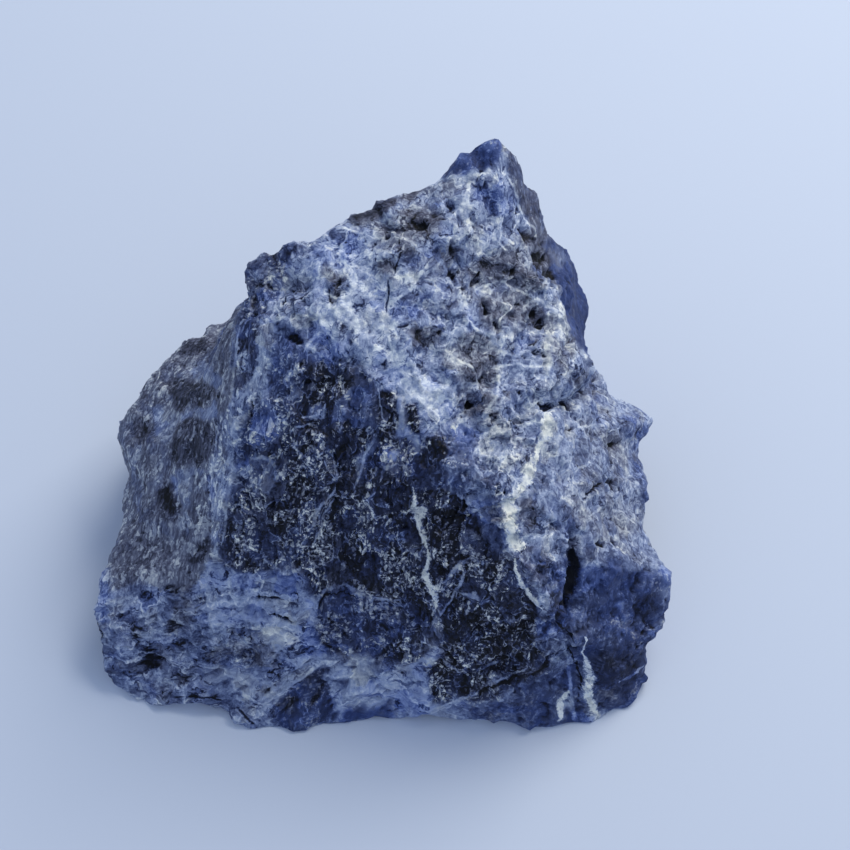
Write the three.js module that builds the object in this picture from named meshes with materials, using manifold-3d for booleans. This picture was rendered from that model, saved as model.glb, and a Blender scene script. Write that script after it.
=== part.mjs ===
// A rough hand specimen of sodalite: one solid chunk of rock, broken on every side, that lies on a
// flat fracture.
//
// Units are millimetres. +Z is up. As the stone's dark face looks at you, +X runs to the right and +Y
// to the back. A sharp crest crosses the back and rises to a peak on the right. In front of the crest a
// broad top face tips gently forwards as far as the brow, and below the brow a steep dark face drops to
// the foot. A ridge on the left parts that face from a grooved side wall, with a low lobe behind it. On
// the right a smooth shoulder, a bench and a block step down from the peak.
//
// The form is a net of landmarks on the stone's surface. Seen from the stone's heart, every landmark
// lies in its own direction, so the hull of those directions says which landmarks are neighbours. Each
// triangle of neighbours is one broken facet. Long edges are then halved until the facets are fine
// enough to carry lumps, grooves, pits and crevices.

import * as THREE from "three";
import { ConvexHull } from "three/addons/math/ConvexHull.js";
import { mergeVertices } from "three/addons/utils/BufferGeometryUtils.js";
import Module from "manifold-3d";

// ---------------------------------------------------------------- driving dimensions

const HEART = new THREE.Vector3(0, -3, 15); // every landmark is in sight of this point
const STONE_COLOUR = 0x35477f;

// Facets are halved until no edge is longer than this.
const LONGEST_EDGE = 2.5;
const LONGEST_EDGE_IN_GRAINS = 2.1; // where the rock is granular
const LONGEST_EDGE_BEHIND = 3.6; // on the back wall and underneath, which are plainer

// Relief on the facets: how high it stands, how wide one swell is, and the seed of its noise. A long
// swell has its length too.
const SWELLS = { height: 0.5, width: 8, seed: 1 };
const BUMPS = { height: 0.45, width: 4, seed: 2 };
const CHIPS = { height: 0.2, width: 2.2, seed: 3 };
const GRAINS = { height: 1.7, width: 4.2, seed: 11, middle: 0.65 };
const GROOVES = { height: 0.55, width: 1.7, length: 12, seed: 21 };
const FLAKES = { height: 0.4, width: 2.6, length: 10, seed: 31 };

// Landmarks on the surface, as [x, y, z].
const LANDMARKS = {
  // the sharp edge across the back, from the left
  crest: [
    [-14, 11, 36], [-12.5, 12, 37], [-10.5, 12.5, 38.5], [-8.5, 13, 39], [-6.5, 13.5, 39],
    [-3.5, 15, 39.5], [-1, 16, 40], [4.5, 18, 40], [6.5, 19.5, 41.5],
  ],
  // the highest point
  peak: [[8, 21, 42.5], [9.5, 21.8, 43.5], [11.5, 22, 44], [13, 21.5, 43.5]],
  // the edge from the peak down to the right
  peakRidge: [[13.5, 19, 41], [15, 17.5, 38], [16, 15.5, 35]],
  // the steep strip behind that edge
  peakFlank: [[14.3, 21.5, 40], [16, 20.5, 36], [17.3, 19.5, 32], [18, 19.5, 29]],
  // the outer side of the smooth bulge below the peak
  shoulder: [
    [19.3, 21.5, 24], [21, 21, 22], [22, 19, 20], [22, 15.5, 19], [21.8, 13, 18], [21.3, 10.5, 17],
  ],
  // the inner side of the same bulge
  shoulderTop: [[17.5, 15, 31], [19, 11.5, 29], [19.5, 7.5, 28], [20.5, 5, 27]],
  // the broad granular face in front of the crest
  topFace: [
    [-5.5, 7.5, 39], [0, 9, 40], [5, 12, 41], [8.5, 18, 41.7], [11.3, 18.5, 42.5], [-3, 3, 37],
    [3, 5, 37.5], [9, 7.5, 35.5], [13.5, 12, 36], [7, 0, 33.5], [12, 0.5, 31], [2, 0, 35.5],
  ],
  // where the top face turns down into the dark face
  brow: [
    [-12.5, 3.5, 35.5], [-8.5, 0.3, 34.5], [-3.5, -2, 34], [1, -2.5, 33.3], [5, -6.3, 31.3],
    [8, -10.3, 29], [11.3, -11, 28], [13, -15.5, 23.7], [16.3, -17.8, 20.5], [18, -20, 16],
  ],
  // a low rib that carries a white vein
  veinRidge: [[17.5, 8.5, 31], [17.5, 2.5, 29.5], [17, -3.5, 28], [14.5, -9, 26.5], [13, -13, 26]],
  // the steep face below the brow
  darkFace: [
    [-8.5, -8, 27], [-9, -13.5, 17], [-5.5, -15.5, 14], [2, -9.5, 27], [6.5, -13.5, 24.5],
    [4.5, -16, 18], [-5, -19, 9], [4, -20.5, 10], [-4, -23, 4], [9.5, -18, 18.5], [7, -20.3, 12.5],
    [13.5, -19.3, 17],
  ],
  // the edge between the dark face and the left wall
  leftRidge: [
    [-14.3, 8, 34.5], [-14.5, 6, 34], [-15.5, 1, 30.5], [-16, -4, 26], [-17, -8.5, 21],
    [-18, -12.5, 15],
  ],
  // the grooved side wall
  leftWall: [
    [-24, 0.5, 17.5], [-26, -3.5, 14], [-27.5, -6.5, 11], [-20, -7, 19], [-21.5, -11.5, 13.5],
    [-19, -2, 23], [-18, 5, 26], [-16.5, 9.5, 25], [-14.3, 12, 28], [-14, 11.5, 32],
  ],
  // the low shoulder behind the left wall
  lowLobe: [
    [-15.5, 17.5, 16], [-18, 17, 17], [-20, 16, 17], [-22.5, 14.5, 17], [-25, 12, 16],
    [-27, 10, 15], [-29, 7, 14], [-30.3, 5, 12], [-30, 4.5, 9], [-26, 4.5, 15.5], [-22, 5, 19.5],
    [-23, 10, 17.5], [-19.5, 12.5, 19],
  ],
  // the outermost line of the left side
  leftSide: [
    [-29.5, 2, 8], [-30, -1.5, 8], [-29.5, -4.5, 9], [-29, -7.5, 10], [-30.7, -9, 9],
    [-32, -11.5, 8], [-32.3, -14.5, 7], [-31.8, -16.5, 6], [-30.8, -18, 5], [-31.2, -19.5, 3],
  ],
  // the foot that flares out under the dark face and the left wall
  foot: [
    [-29, -9.5, 9.5], [-24.5, -13, 11], [-18, -15.5, 12], [-13.5, -17.5, 10.5], [-8, -17.5, 11],
    [-26, -19.5, 4.5], [-20, -19, 6.5], [-14.5, -20, 6], [-11, -23.5, 2.5], [-7.5, -21, 6],
  ],
  // the lip of the ledge at the front
  ledge: [[5.5, -24.8, 3], [9.5, -24.3, 4.5], [13.5, -23.8, 6], [17.5, -22.5, 8.5]],
  // the bench on the right, from the back
  bench: [
    [21.8, 7.5, 17], [22, 11, 11.5], [25.7, 8.2, 14], [28.3, 8.3, 12], [29.8, 7.2, 11], [29, 5, 10],
    [28, 4.3, 9], [28.5, 2, 10], [29, -0.5, 10], [29, -3.5, 9.5], [29.5, -5.5, 9], [30.5, -9, 9],
    [31.8, -11.5, 9], [31.5, -13.5, 8],
  ],
  // the slope between the vein ridge and the bench
  rightFace: [[23.5, 1, 20], [23, -7, 19], [26.5, -9, 13], [20, -7, 23], [18.5, -11.5, 22.5]],
  // the block in the right front corner
  block: [
    [22, -14.5, 18.5], [25.5, -13.5, 14.5], [23.5, -19, 9], [23.5, -23.5, 2.5], [28, -18, 6.5],
    [19, -22, 5], [30.5, -14.5, 6], [30.5, -16, 5], [29.3, -17.5, 4], [28.8, -19.5, 3],
    [28.2, -21, 1.5],
  ],
  // the lowest line at the front, from the right
  frontHem: [
    [27.5, -22.5, 0.5], [26.5, -23.5, 0], [24.5, -24.5, 0], [22.5, -25.5, 0], [19.5, -25.5, 0],
    [16, -25.5, 0.5], [13, -25, 1.5], [9, -25, 1.5], [6.5, -24.5, 1], [4, -24, 1], [-0.5, -24.5, 0],
    [-4.5, -25.5, 0], [-10.5, -25.8, 0], [-13, -25.8, 0], [-14.8, -25.5, 0.5], [-16, -24.8, 1],
    [-17.5, -24.3, 1], [-21, -23.7, 1.5], [-24.5, -23.2, 1], [-27.5, -22.8, 0], [-29.3, -22.3, 0.5],
    [-31, -21, 1.5],
  ],
  // the steep wall behind, from the top down
  backWall: [
    [-13, 13.5, 33], [-9, 15, 34], [-3, 17.5, 34], [4, 20, 35.5], [9, 23.2, 38], [12.7, 23.2, 40],
    [-12, 17, 25], [-4, 19, 26], [3, 23.5, 27], [11, 25.5, 30], [16.5, 24, 25], [-16, 20, 9],
    [-9, 22, 17], [-1, 21.5, 17], [6, 26.5, 19], [-8, 24, 8], [0, 27, 9], [9, 28.3, 10],
    [17, 26, 13], [-23, 15.5, 7], [-28, 10, 6], [23, 18.5, 9], [27, 10, 6],
  ],
  // underneath, a little below the surface that the stone lies on, and cut off flat at the end
  base: [
    [-29, -12, -2], [-29, -20, -2], [-27.5, 0, -2], [-25, 10, -2], [-17, 18, -2], [-6, 24, -2],
    [7, 26, -2], [17, 23.5, -2], [24, 14, -2], [27, 3, -2], [28.5, -10, -2], [28, -20, -2],
    [18, -24, -2], [10, -20.5, -2], [-2, -23.5, -2], [-12, -24, -2], [-20, -20, -2], [0, 0, -2],
  ],
};

// Pits, as [x, y, z, radius, depth].
const PITS = [
  [7, 9, 39, 2.6, 0.9], [11, 8, 36.5, 3, 1], [16.5, 8, 31, 2.4, 0.9], [9, -2, 31.5, 2.2, 0.8],
  [17, -0.5, 27.5, 1.8, 0.9], [20, 0.5, 26, 1.8, 0.9], [24.5, -5, 18, 1.8, 0.7], [1, 0, 35, 2, 0.7],
  [-26, -19.5, 4, 2.6, 1.3], [16, 14.5, 34, 2.2, 1], [-11, 9.5, 37, 2.2, 0.8],
  [28.5, 4.5, 9, 2.2, 1.2],
];

// Crevices run along chains of points, which are landmarks too.
const CREVICES = {
  // between the dark face and the block
  crack: {
    chain: [[20, -12.5, 20.5], [20, -15.5, 17.5], [19.5, -18, 14.5]],
    halfWidth: 1.3,
    depth: 2.2,
  },
  // above the ledge
  undercut: {
    chain: [[6.5, -23.5, 5], [9.5, -23, 6.5], [13.5, -22, 9], [17, -21, 11.5], [19.5, -19.8, 13]],
    halfWidth: 1.4,
    depth: 1.5,
  },
  // between the top face and the bench
  seam: {
    chain: [[14, -2, 29.5], [17, -1, 28.5], [19.3, 0.5, 26.5], [21, 2.5, 24.5], [22.2, 5, 22.5]],
    halfWidth: 1.4,
    depth: 1.4,
  },
};

// ---------------------------------------------------------------- noise

// Eases from 0 at the value "from" to 1 at the value "to", whichever of them is the larger.
function ease(from, to, value) {
  const t = THREE.MathUtils.clamp((value - from) / (to - from), 0, 1);
  return t * t * (3 - 2 * t);
}

// A number from 0 to 1 for a whole-numbered corner of space, always the same for the same corner. The
// large odd factors scatter the bits.
function cornerValue(i, j, k, seed) {
  let bits = Math.imul(i, 374761393) ^ Math.imul(j, 668265263);
  bits ^= Math.imul(k, 1442695041) ^ Math.imul(seed, 974634777);
  bits = Math.imul(bits ^ (bits >>> 13), 1274126177);
  bits = Math.imul(bits ^ (bits >>> 16), 2246822519);
  return ((bits ^ (bits >>> 15)) >>> 0) / 0xffffffff;
}

// Smooth noise from -1 to 1, with one swell for each unit of space.
function noise(x, y, z, seed) {
  const corner = [Math.floor(x), Math.floor(y), Math.floor(z)];
  const share = [x, y, z].map((value, axis) => ease(corner[axis], corner[axis] + 1, value));
  let sum = 0;
  for (let n = 0; n < 8; n++) {
    const step = [n & 1, (n >> 1) & 1, n >> 2];
    const weight = step.reduce((w, s, axis) => w * (s ? share[axis] : 1 - share[axis]), 1);
    const [i, j, k] = corner.map((c, axis) => c + step[axis]);
    sum += weight * cornerValue(i, j, k, seed);
  }
  return 2 * sum - 1;
}

// Lumpy noise from 0, between two lumps, to about 1, on top of one. Each unit of space holds one lump.
function lumps(x, y, z, seed) {
  let nearest = Infinity;
  for (let n = 0; n < 27; n++) {
    const i = Math.floor(x) + (n % 3) - 1;
    const j = Math.floor(y) + (Math.floor(n / 3) % 3) - 1;
    const k = Math.floor(z) + Math.floor(n / 9) - 1;
    const dx = i + cornerValue(i, j, k, seed) - x;
    const dy = j + cornerValue(i, j, k, seed + 1) - y;
    const dz = k + cornerValue(i, j, k, seed + 2) - z;
    nearest = Math.min(nearest, dx * dx + dy * dy + dz * dz);
  }
  return Math.max(0, 1 - nearest);
}

// Noise of one kind of relief, as wide in every direction.
function evenNoise(p, { height, width, seed }) {
  return height * noise(p.x / width, p.y / width, p.z / width, seed);
}

// ---------------------------------------------------------------- the kinds of rock

// Pale, granular rock covers the top, the right and the foot: rounded grains a few millimetres across.
function granular(p) {
  const onTop = ease(-4, 2, p.y + 0.55 * p.x) * ease(20, 26, p.z);
  const onRight = ease(18, 22, p.x);
  const onFoot = ease(12, 9, p.z) * ease(-4, -9, p.x);
  return Math.max(onTop, onRight, onFoot);
}

// The left wall above the foot.
function grooved(p) {
  return ease(-13, -16, p.x) * ease(9, 13, p.z);
}

// The dark face below the brow.
function splintered(p) {
  const belowBrow = ease(-8, -12, p.y + 0.4 * p.x - 0.3 * (p.z - 20));
  return (1 - granular(p)) * (1 - grooved(p)) * belowBrow;
}

// How far a point stands out from its flat facet, or in behind it.
function relief(p) {
  const everywhere = evenNoise(p, SWELLS) + evenNoise(p, BUMPS) + evenNoise(p, CHIPS);

  const grain = lumps(p.x / GRAINS.width, p.y / GRAINS.width, p.z / GRAINS.width, GRAINS.seed);
  const grains = granular(p) * GRAINS.height * (grain - GRAINS.middle);

  // Grooves run down the wall and to the front.
  const acrossGrooves = (p.x + 0.45 * p.z) / GROOVES.width;
  const alongGrooves = (p.z - p.y) / GROOVES.length;
  const grooves = grooved(p) * GROOVES.height * noise(acrossGrooves, alongGrooves, 0, GROOVES.seed);

  // Flakes stand upright on the dark face.
  const alongFlakes = (p.y - p.z) / FLAKES.length;
  const flake = noise(p.x / FLAKES.width, alongFlakes, p.z / FLAKES.length, FLAKES.seed);
  const flakes = splintered(p) * FLAKES.height * flake;

  return everywhere + grains + grooves + flakes;
}

// How deep the pits and the crevices are at a point.
function hollows(p) {
  const depths = PITS.map(([x, y, z, radius, depth]) => {
    const distance = p.distanceTo(new THREE.Vector3(x, y, z));
    return depth * ease(radius, 0.3 * radius, distance);
  });
  for (const { chain, halfWidth, depth } of Object.values(CREVICES)) {
    const corners = chain.map((corner) => new THREE.Vector3(...corner));
    for (let i = 1; i < corners.length; i++) {
      const link = new THREE.Line3(corners[i - 1], corners[i]);
      const nearest = link.closestPointToPoint(p, true, new THREE.Vector3());
      depths.push(depth * ease(halfWidth, 0, nearest.distanceTo(p)));
    }
  }
  return Math.max(...depths);
}

// ---------------------------------------------------------------- the net of facets

// The triangles of neighbouring landmarks, as triples of indices.
function facetsBetween(points) {
  const directions = points.map((p) => p.clone().sub(HEART).normalize());
  const indexOf = new Map(directions.map((direction, i) => [direction, i]));
  return new ConvexHull().setFromPoints(directions).faces.map((face) => {
    const edges = [face.edge, face.edge.next, face.edge.next.next];
    return edges.map((edge) => indexOf.get(edge.head().point));
  });
}

// The longest edge that may stay at a point.
function longestEdge(p) {
  const behind = p.z < 0 || p.y > 14 + 0.2 * p.z;
  if (behind) return LONGEST_EDGE_BEHIND;
  return THREE.MathUtils.lerp(LONGEST_EDGE, LONGEST_EDGE_IN_GRAINS, granular(p));
}

// Splits a facet at the middles of its long edges. A facet with none, one, two or three of them becomes
// one, two, three or four.
function splitFacet([a, b, c], middleOf) {
  const [ab, bc, ca] = [middleOf(a, b), middleOf(b, c), middleOf(c, a)];
  const splits = [ab, bc, ca].filter((middle) => middle !== undefined).length;
  if (splits === 0) return [[a, b, c]];
  if (splits === 3) return [[a, ab, ca], [ab, b, bc], [ca, bc, c], [ab, bc, ca]];
  if (splits === 1 && ab !== undefined) return [[a, ab, c], [ab, b, c]];
  if (splits === 2 && ca === undefined) return [[ab, b, bc], [a, ab, bc], [a, bc, c]];
  return splitFacet([b, c, a], middleOf); // turned until its long edges come first
}

// One round of halving. Both facets at an edge share its middle, so the net stays closed.
function halveLongEdges(points, facets) {
  const middles = new Map();
  const middleOf = (a, b) => {
    const middle = points[a].clone().lerp(points[b], 0.5);
    if (points[a].distanceTo(points[b]) <= longestEdge(middle)) return undefined;
    const edge = Math.min(a, b) + "-" + Math.max(a, b);
    if (!middles.has(edge)) middles.set(edge, points.push(middle) - 1);
    return middles.get(edge);
  };
  return facets.flatMap((facet) => splitFacet(facet, middleOf));
}

// ---------------------------------------------------------------- the rough stone

const chains = Object.values(CREVICES).map((crevice) => crevice.chain);
const landmarks = [...Object.values(LANDMARKS), ...chains].flat();
const points = landmarks.map((landmark) => new THREE.Vector3(...landmark));

let facets = facetsBetween(points);
let facetsBefore = 0;
while (facets.length > facetsBefore) {
  facetsBefore = facets.length;
  facets = halveLongEdges(points, facets);
}

// Relief moves a point along its line from the heart, so no facet folds over another.
for (const p of points) {
  const outwards = p.clone().sub(HEART).normalize();
  p.addScaledVector(outwards, relief(p) - hollows(p));
}

const rough = new THREE.BufferGeometry().setFromPoints(points);
rough.setIndex(facets.flat());

// ---------------------------------------------------------------- the flat base

const wasm = await Module();
wasm.setup();

// A closed geometry as a manifold-3d solid.
function solidOf(geometry) {
  const bare = geometry.clone();
  bare.deleteAttribute("normal");
  bare.deleteAttribute("uv");
  const merged = mergeVertices(bare, 1e-4);
  const mesh = new wasm.Mesh({
    numProp: 3,
    vertProperties: merged.attributes.position.array,
    triVerts: new Uint32Array(merged.index.array),
  });
  return new wasm.Manifold(mesh);
}

const CUTTER = 100; // wider than the stone on every side
const below = new THREE.BoxGeometry(CUTTER, CUTTER, CUTTER).translate(0, 0, -CUTTER / 2);
const cut = solidOf(rough).subtract(solidOf(below)).getMesh();

const geometry = new THREE.BufferGeometry();
geometry.setAttribute("position", new THREE.Float32BufferAttribute(cut.vertProperties, 3));
geometry.setIndex(new THREE.Uint32BufferAttribute(cut.triVerts, 1));

// The origin is under the middle of the stone, on the surface that it lies on.
geometry.computeBoundingBox();
const middle = geometry.boundingBox.getCenter(new THREE.Vector3());
geometry.translate(-middle.x, -middle.y, -geometry.boundingBox.min.z);

// ---------------------------------------------------------------- the specimen

const stone = new THREE.Mesh(
  geometry,
  new THREE.MeshStandardMaterial({ color: STONE_COLOUR, roughness: 0.55, metalness: 0 }),
);
stone.name = "stone";

const specimen = new THREE.Group();
specimen.add(stone);

export default specimen;
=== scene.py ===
# %% [markdown]
# # A rough piece of sodalite
#
# The stone is one lump, broken from a vein and never cut or polished. Its own shape comes from the
# frame: a closed solid with the large faces, ledges, lumps and hollows. What is still missing is the
# skin: grains the size of a pinhead, torn cleavage, fibres, veins and colour. This lesson grows that
# skin as one surface over the solid, carves it, and then paints it with a node material.

# %% Load the frame
import bpy
import itertools
import math
import numpy as np
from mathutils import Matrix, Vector
from mathutils.bvhtree import BVHTree


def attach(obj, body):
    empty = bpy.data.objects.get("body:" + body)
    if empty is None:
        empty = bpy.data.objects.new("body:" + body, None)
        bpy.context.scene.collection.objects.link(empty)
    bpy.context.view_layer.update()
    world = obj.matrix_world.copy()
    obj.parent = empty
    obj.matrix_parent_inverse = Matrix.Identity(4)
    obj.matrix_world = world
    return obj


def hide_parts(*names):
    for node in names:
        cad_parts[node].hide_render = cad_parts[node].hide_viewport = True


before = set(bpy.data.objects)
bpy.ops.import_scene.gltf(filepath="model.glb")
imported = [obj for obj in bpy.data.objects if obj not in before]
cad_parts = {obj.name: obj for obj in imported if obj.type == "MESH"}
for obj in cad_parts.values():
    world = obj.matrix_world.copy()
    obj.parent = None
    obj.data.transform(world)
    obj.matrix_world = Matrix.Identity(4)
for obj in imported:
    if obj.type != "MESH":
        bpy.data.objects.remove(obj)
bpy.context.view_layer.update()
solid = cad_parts["stone"]
# places are worked out in millimetres, and this turns them into Blender's metres
MM = 0.001

# %% [markdown]
# ## The view
#
# The stone is seen from the front and from well above, as one looks at a thing lying on a table. The
# camera is made first, because the markings further on are placed where it sees them. It could be
# aimed with a Track To constraint, but its tilt is a plain number: a camera that is not turned looks
# straight down, so a view from 60 degrees above the table is a turn of 30 degrees about X.

# %% Place the camera
PICTURE = 850
FOCAL_PIXELS = 2000.0
SENSOR_MM = 36.0
VIEW_ABOVE_TABLE = math.radians(60)
AIM = np.array([4.638, 11.768, 0.0])
EYE_DISTANCE = 240.0

looking = np.array([0.0, math.cos(VIEW_ABOVE_TABLE), -math.sin(VIEW_ABOVE_TABLE)])
picture_right = np.array([1.0, 0.0, 0.0])
picture_up = np.cross(picture_right, looking)
EYE = AIM - EYE_DISTANCE * looking

camera_data = bpy.data.cameras.new("camera")
camera_data.sensor_width = SENSOR_MM
camera_data.lens = FOCAL_PIXELS * SENSOR_MM / PICTURE
camera_data.clip_start = 0.01
camera = bpy.data.objects.new("camera", camera_data)
camera.location = EYE * MM
camera.rotation_euler = (math.pi / 2 - VIEW_ABOVE_TABLE, 0, 0)
bpy.context.collection.objects.link(camera)
bpy.context.scene.camera = camera


def seen_at(points):
    """The pixel of the picture that each point falls on: sideways and upward distance from the line
    of sight, divided by depth and multiplied by the focal length."""
    reach = points - EYE
    depth = reach @ looking
    across = PICTURE / 2 + FOCAL_PIXELS * (reach @ picture_right) / depth
    down = PICTURE / 2 - FOCAL_PIXELS * (reach @ picture_up) / depth
    return np.stack([across, down], axis=-1)


print("the eye is at", EYE.round(1), "mm, lens", round(camera_data.lens, 1), "mm")

# %% [markdown]
# ## Chance that comes out the same every time
#
# Grains and stains look random but must not change from one run to the next. Each cube of space
# gets a number worked out from its own whole-numbered address, so the same place always draws the
# same number. Three patterns are built on it: smooth noise, several sizes of noise laid over each
# other, and grains, which are the cells around scattered centres.

# %% Noise and grains
def drawn(cells, seed):
    """A number from 0 to 1 for each whole-numbered address: the three parts times three large odd
    numbers, added, and the bits stirred by shifts and products."""
    wide = cells.astype(np.uint32)
    mixed = wide[..., 0] * np.uint32(374761393) + wide[..., 1] * np.uint32(668265263)
    mixed += wide[..., 2] * np.uint32(2246822519) + np.uint32(seed * 3266489917 % 2**32)
    for shift, factor in ((15, 2246822519), (13, 3266489917)):
        mixed = (mixed ^ (mixed >> np.uint32(shift))) * np.uint32(factor)
    return (mixed ^ (mixed >> np.uint32(16))) / 2.0**32


def ease(low, high, value):
    """0 below low, 1 above high, and a smooth S-shaped rise between them."""
    t = np.clip((value - low) / (high - low), 0, 1)
    return t * t * (3 - 2 * t)


def noise(points, size, seed):
    """Smooth noise from -1 to 1: numbers drawn at the corners of cubes of this size, blended inside
    each cube with weights that rise in an S-shape from corner to corner."""
    placed = points / size
    home = np.floor(placed).astype(np.int64)
    inside = placed - home
    inside = inside * inside * (3 - 2 * inside)
    total = np.zeros(len(points))
    for corner in itertools.product((0, 1), repeat=3):
        weight = np.where(np.array(corner), inside, 1 - inside).prod(axis=1)
        total += weight * drawn(home + corner, seed)
    return 2 * total - 1


def layered(points, size, seed, layers=4, fade=0.5):
    """Noise at this size, at half of it, a quarter and so on, each layer fainter than the last."""
    shares = fade ** np.arange(layers)
    stack = [share * noise(points, size / 2**k, seed + k) for k, share in enumerate(shares)]
    return sum(stack) / shares.sum()


def grains(points, size, seed):
    """One grain centre at a chance place in each cube of this size. Gives the distance to the nearest
    centre and to the second nearest, the offset from the nearest, and the nearest one's address."""
    placed = points / size
    home = np.floor(placed).astype(np.int64)
    near = np.full(len(points), 9.0)
    second = near.copy()
    offset = np.zeros_like(points)
    owner = home.copy()
    for step in itertools.product((-1, 0, 1), repeat=3):
        cell = home + step
        centre = cell + np.stack([drawn(cell, seed + k) for k in range(3)], axis=-1)
        gap = placed - centre
        distance = np.linalg.norm(gap, axis=1)
        nearer = distance < near
        second = np.where(nearer, near, np.minimum(second, distance))
        near = np.where(nearer, distance, near)
        offset = np.where(nearer[:, None], gap, offset)
        owner = np.where(nearer[:, None], cell, owner)
    return near, second, offset, owner


def stretched(points, axis, factor):
    """The points with their reach along the axis shortened, so a pattern on them comes out long."""
    along = (points @ axis)[:, None] * axis
    return points - along * (1 - 1 / factor)


def rounded_grains(points, size, seed):
    """Lumps side by side: high at each grain's centre and low in the crease between two grains."""
    near, second, _, _ = grains(points, size, seed)
    return ease(0.0, 0.75, second - near) - 0.5


def chipped(points, size, seed):
    """Flat chips side by side: each grain is a plane tilted its own way, with a step at its edge."""
    _, _, offset, owner = grains(points, size, seed)
    tilt = np.stack([drawn(owner, seed + 10 + k) for k in range(3)], axis=-1) * 2 - 1
    return (offset * tilt).sum(axis=1) + 0.35 * (drawn(owner, seed + 20) - 0.5)


def stairs(value):
    """A rising slope turned into treads and short risers: whole steps, each eased into the next."""
    tread = np.floor(value)
    return tread + ease(0.75, 1.0, value - tread)


print("one slope as stairs:", stairs(np.linspace(0, 2, 9)).round(2))

# %% [markdown]
# ## One closed skin
#
# A ball of latitudes and longitudes has two poles where its squares pinch together, which would
# show as stars in the carving. Six square nets, one on each face of a box, cover the stone evenly
# and have no pole. The nets share their edge points, so the skin is closed from the start. The box
# sits a little high and forward of the stone: a net packs its points closest on the side that
# lies farthest from the heart, and the front and the top have the finest carving.

# %% Weave the net
CELLS = np.array([150, 130, 104])
HEART = np.array([0.238, -4.232, 15.0])
NET_LOW = np.array([-32.0, -33.3, 6.0])
NET_HIGH = np.array([32.0, 17.3, 52.3])
START_RADIUS = 1.0


def box_net(cells):
    """Whole-numbered points on the six faces of a box of cells, with each shared edge point kept
    once, and the squares between them, wound to face outward."""
    corners, squares, count = [], [], 0
    for axis, far_end in itertools.product(range(3), (False, True)):
        next_axis, last_axis = (axis + 1) % 3, (axis + 2) % 3
        rows, columns = np.indices((cells[next_axis] + 1, cells[last_axis] + 1))
        points = np.zeros(rows.shape + (3,), int)
        points[..., axis] = cells[axis] * far_end
        points[..., next_axis] = rows
        points[..., last_axis] = columns
        number = count + np.arange(rows.size).reshape(rows.shape)
        count += rows.size
        around = [number[:-1, :-1], number[1:, :-1], number[1:, 1:], number[:-1, 1:]]
        loop = np.stack(around if far_end else around[::-1], axis=-1)
        corners.append(points.reshape(-1, 3))
        squares.append(loop.reshape(-1, 4))
    kept, renumbered = np.unique(np.concatenate(corners), axis=0, return_inverse=True)
    return kept, renumbered.reshape(-1)[np.concatenate(squares)]


def new_mesh(name, points, squares):
    """A mesh of four-sided faces from whole arrays: point places in metres, corners by number."""
    mesh = bpy.data.meshes.new(name)
    mesh.vertices.add(len(points))
    mesh.vertices.foreach_set("co", points.astype(np.float32).ravel())
    mesh.loops.add(squares.size)
    mesh.loops.foreach_set("vertex_index", squares.astype(np.int32).ravel())
    mesh.polygons.add(len(squares))
    mesh.polygons.foreach_set("loop_start", np.arange(0, squares.size, 4, dtype=np.int32))
    mesh.update(calc_edges=True)
    mesh.validate()
    return mesh


lattice, squares = box_net(CELLS)
directions = NET_LOW + lattice / CELLS * (NET_HIGH - NET_LOW) - HEART
directions /= np.linalg.norm(directions, axis=1)[:, None]
print("the net has", len(directions), "points and", len(squares), "squares")

# %% [markdown]
# ## Lay the skin on the solid
#
# The net starts as a tiny ball at the heart of the stone. Shrinkwrap then sends every point
# straight out along its normal until it meets the solid, so no point can slide to the wrong side of
# a ridge, as a nearest-point wrap would let it. The solid has flat triangles a few millimetres
# wide. Moving each point towards the mean of its neighbours, then a little back, rounds those off
# and hardly shrinks the stone.

# %% Wrap and smooth
ball = bpy.data.objects.new("ball", new_mesh("ball", (HEART + START_RADIUS * directions) * MM, squares))
bpy.context.collection.objects.link(ball)
wrap = ball.modifiers.new("wrap", "SHRINKWRAP")
wrap.wrap_method = "PROJECT"
wrap.target = solid
wrap.use_positive_direction = True
wrap.use_negative_direction = False
wrapped = ball.evaluated_get(bpy.context.evaluated_depsgraph_get())
flat = np.empty(len(directions) * 3, np.float32)
wrapped.data.vertices.foreach_get("co", flat)
skin = flat.reshape(-1, 3).astype(float) / MM
bpy.data.objects.remove(ball)

sides = np.concatenate([squares[:, [k, (k + 1) % 4]] for k in range(4)])
neighbours = np.bincount(sides[:, 0], minlength=len(skin))


def mean_of_neighbours(values):
    """For each point the mean of a value over the points it shares an edge with."""
    columns = values.reshape(len(values), -1).T
    sums = [np.bincount(sides[:, 0], column[sides[:, 1]], len(values)) for column in columns]
    return (np.stack(sums, axis=-1) / neighbours[:, None]).reshape(values.shape)


def smoothed(values, rounds, back=0.53):
    """Half a step towards the neighbours' mean and a like step back, round after round, which
    levels what is small and leaves what is large."""
    for _ in range(rounds):
        values = values + 0.5 * (mean_of_neighbours(values) - values)
        values = values - back * (mean_of_neighbours(values) - values)
    return values


def outward(points):
    """The direction each point faces: the crossed diagonals of its squares, added up."""
    crossed = np.cross(points[squares[:, 2]] - points[squares[:, 0]],
                       points[squares[:, 3]] - points[squares[:, 1]])
    rows = squares.ravel()
    total = np.stack([np.bincount(rows, np.repeat(axis, 4), len(points)) for axis in crossed.T], axis=-1)
    return total / np.linalg.norm(total, axis=1)[:, None]


reach = np.linalg.norm(skin - HEART, axis=1)
print("points that met the solid:", int((reach > 2 * START_RADIUS).sum()), "of", len(skin))
ROUNDS_OF_SMOOTHING = 6

skin = smoothed(skin, ROUNDS_OF_SMOOTHING)
facing = outward(skin)
print("the smooth skin spans", np.ptp(skin, axis=0).round(1), "mm")

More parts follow.
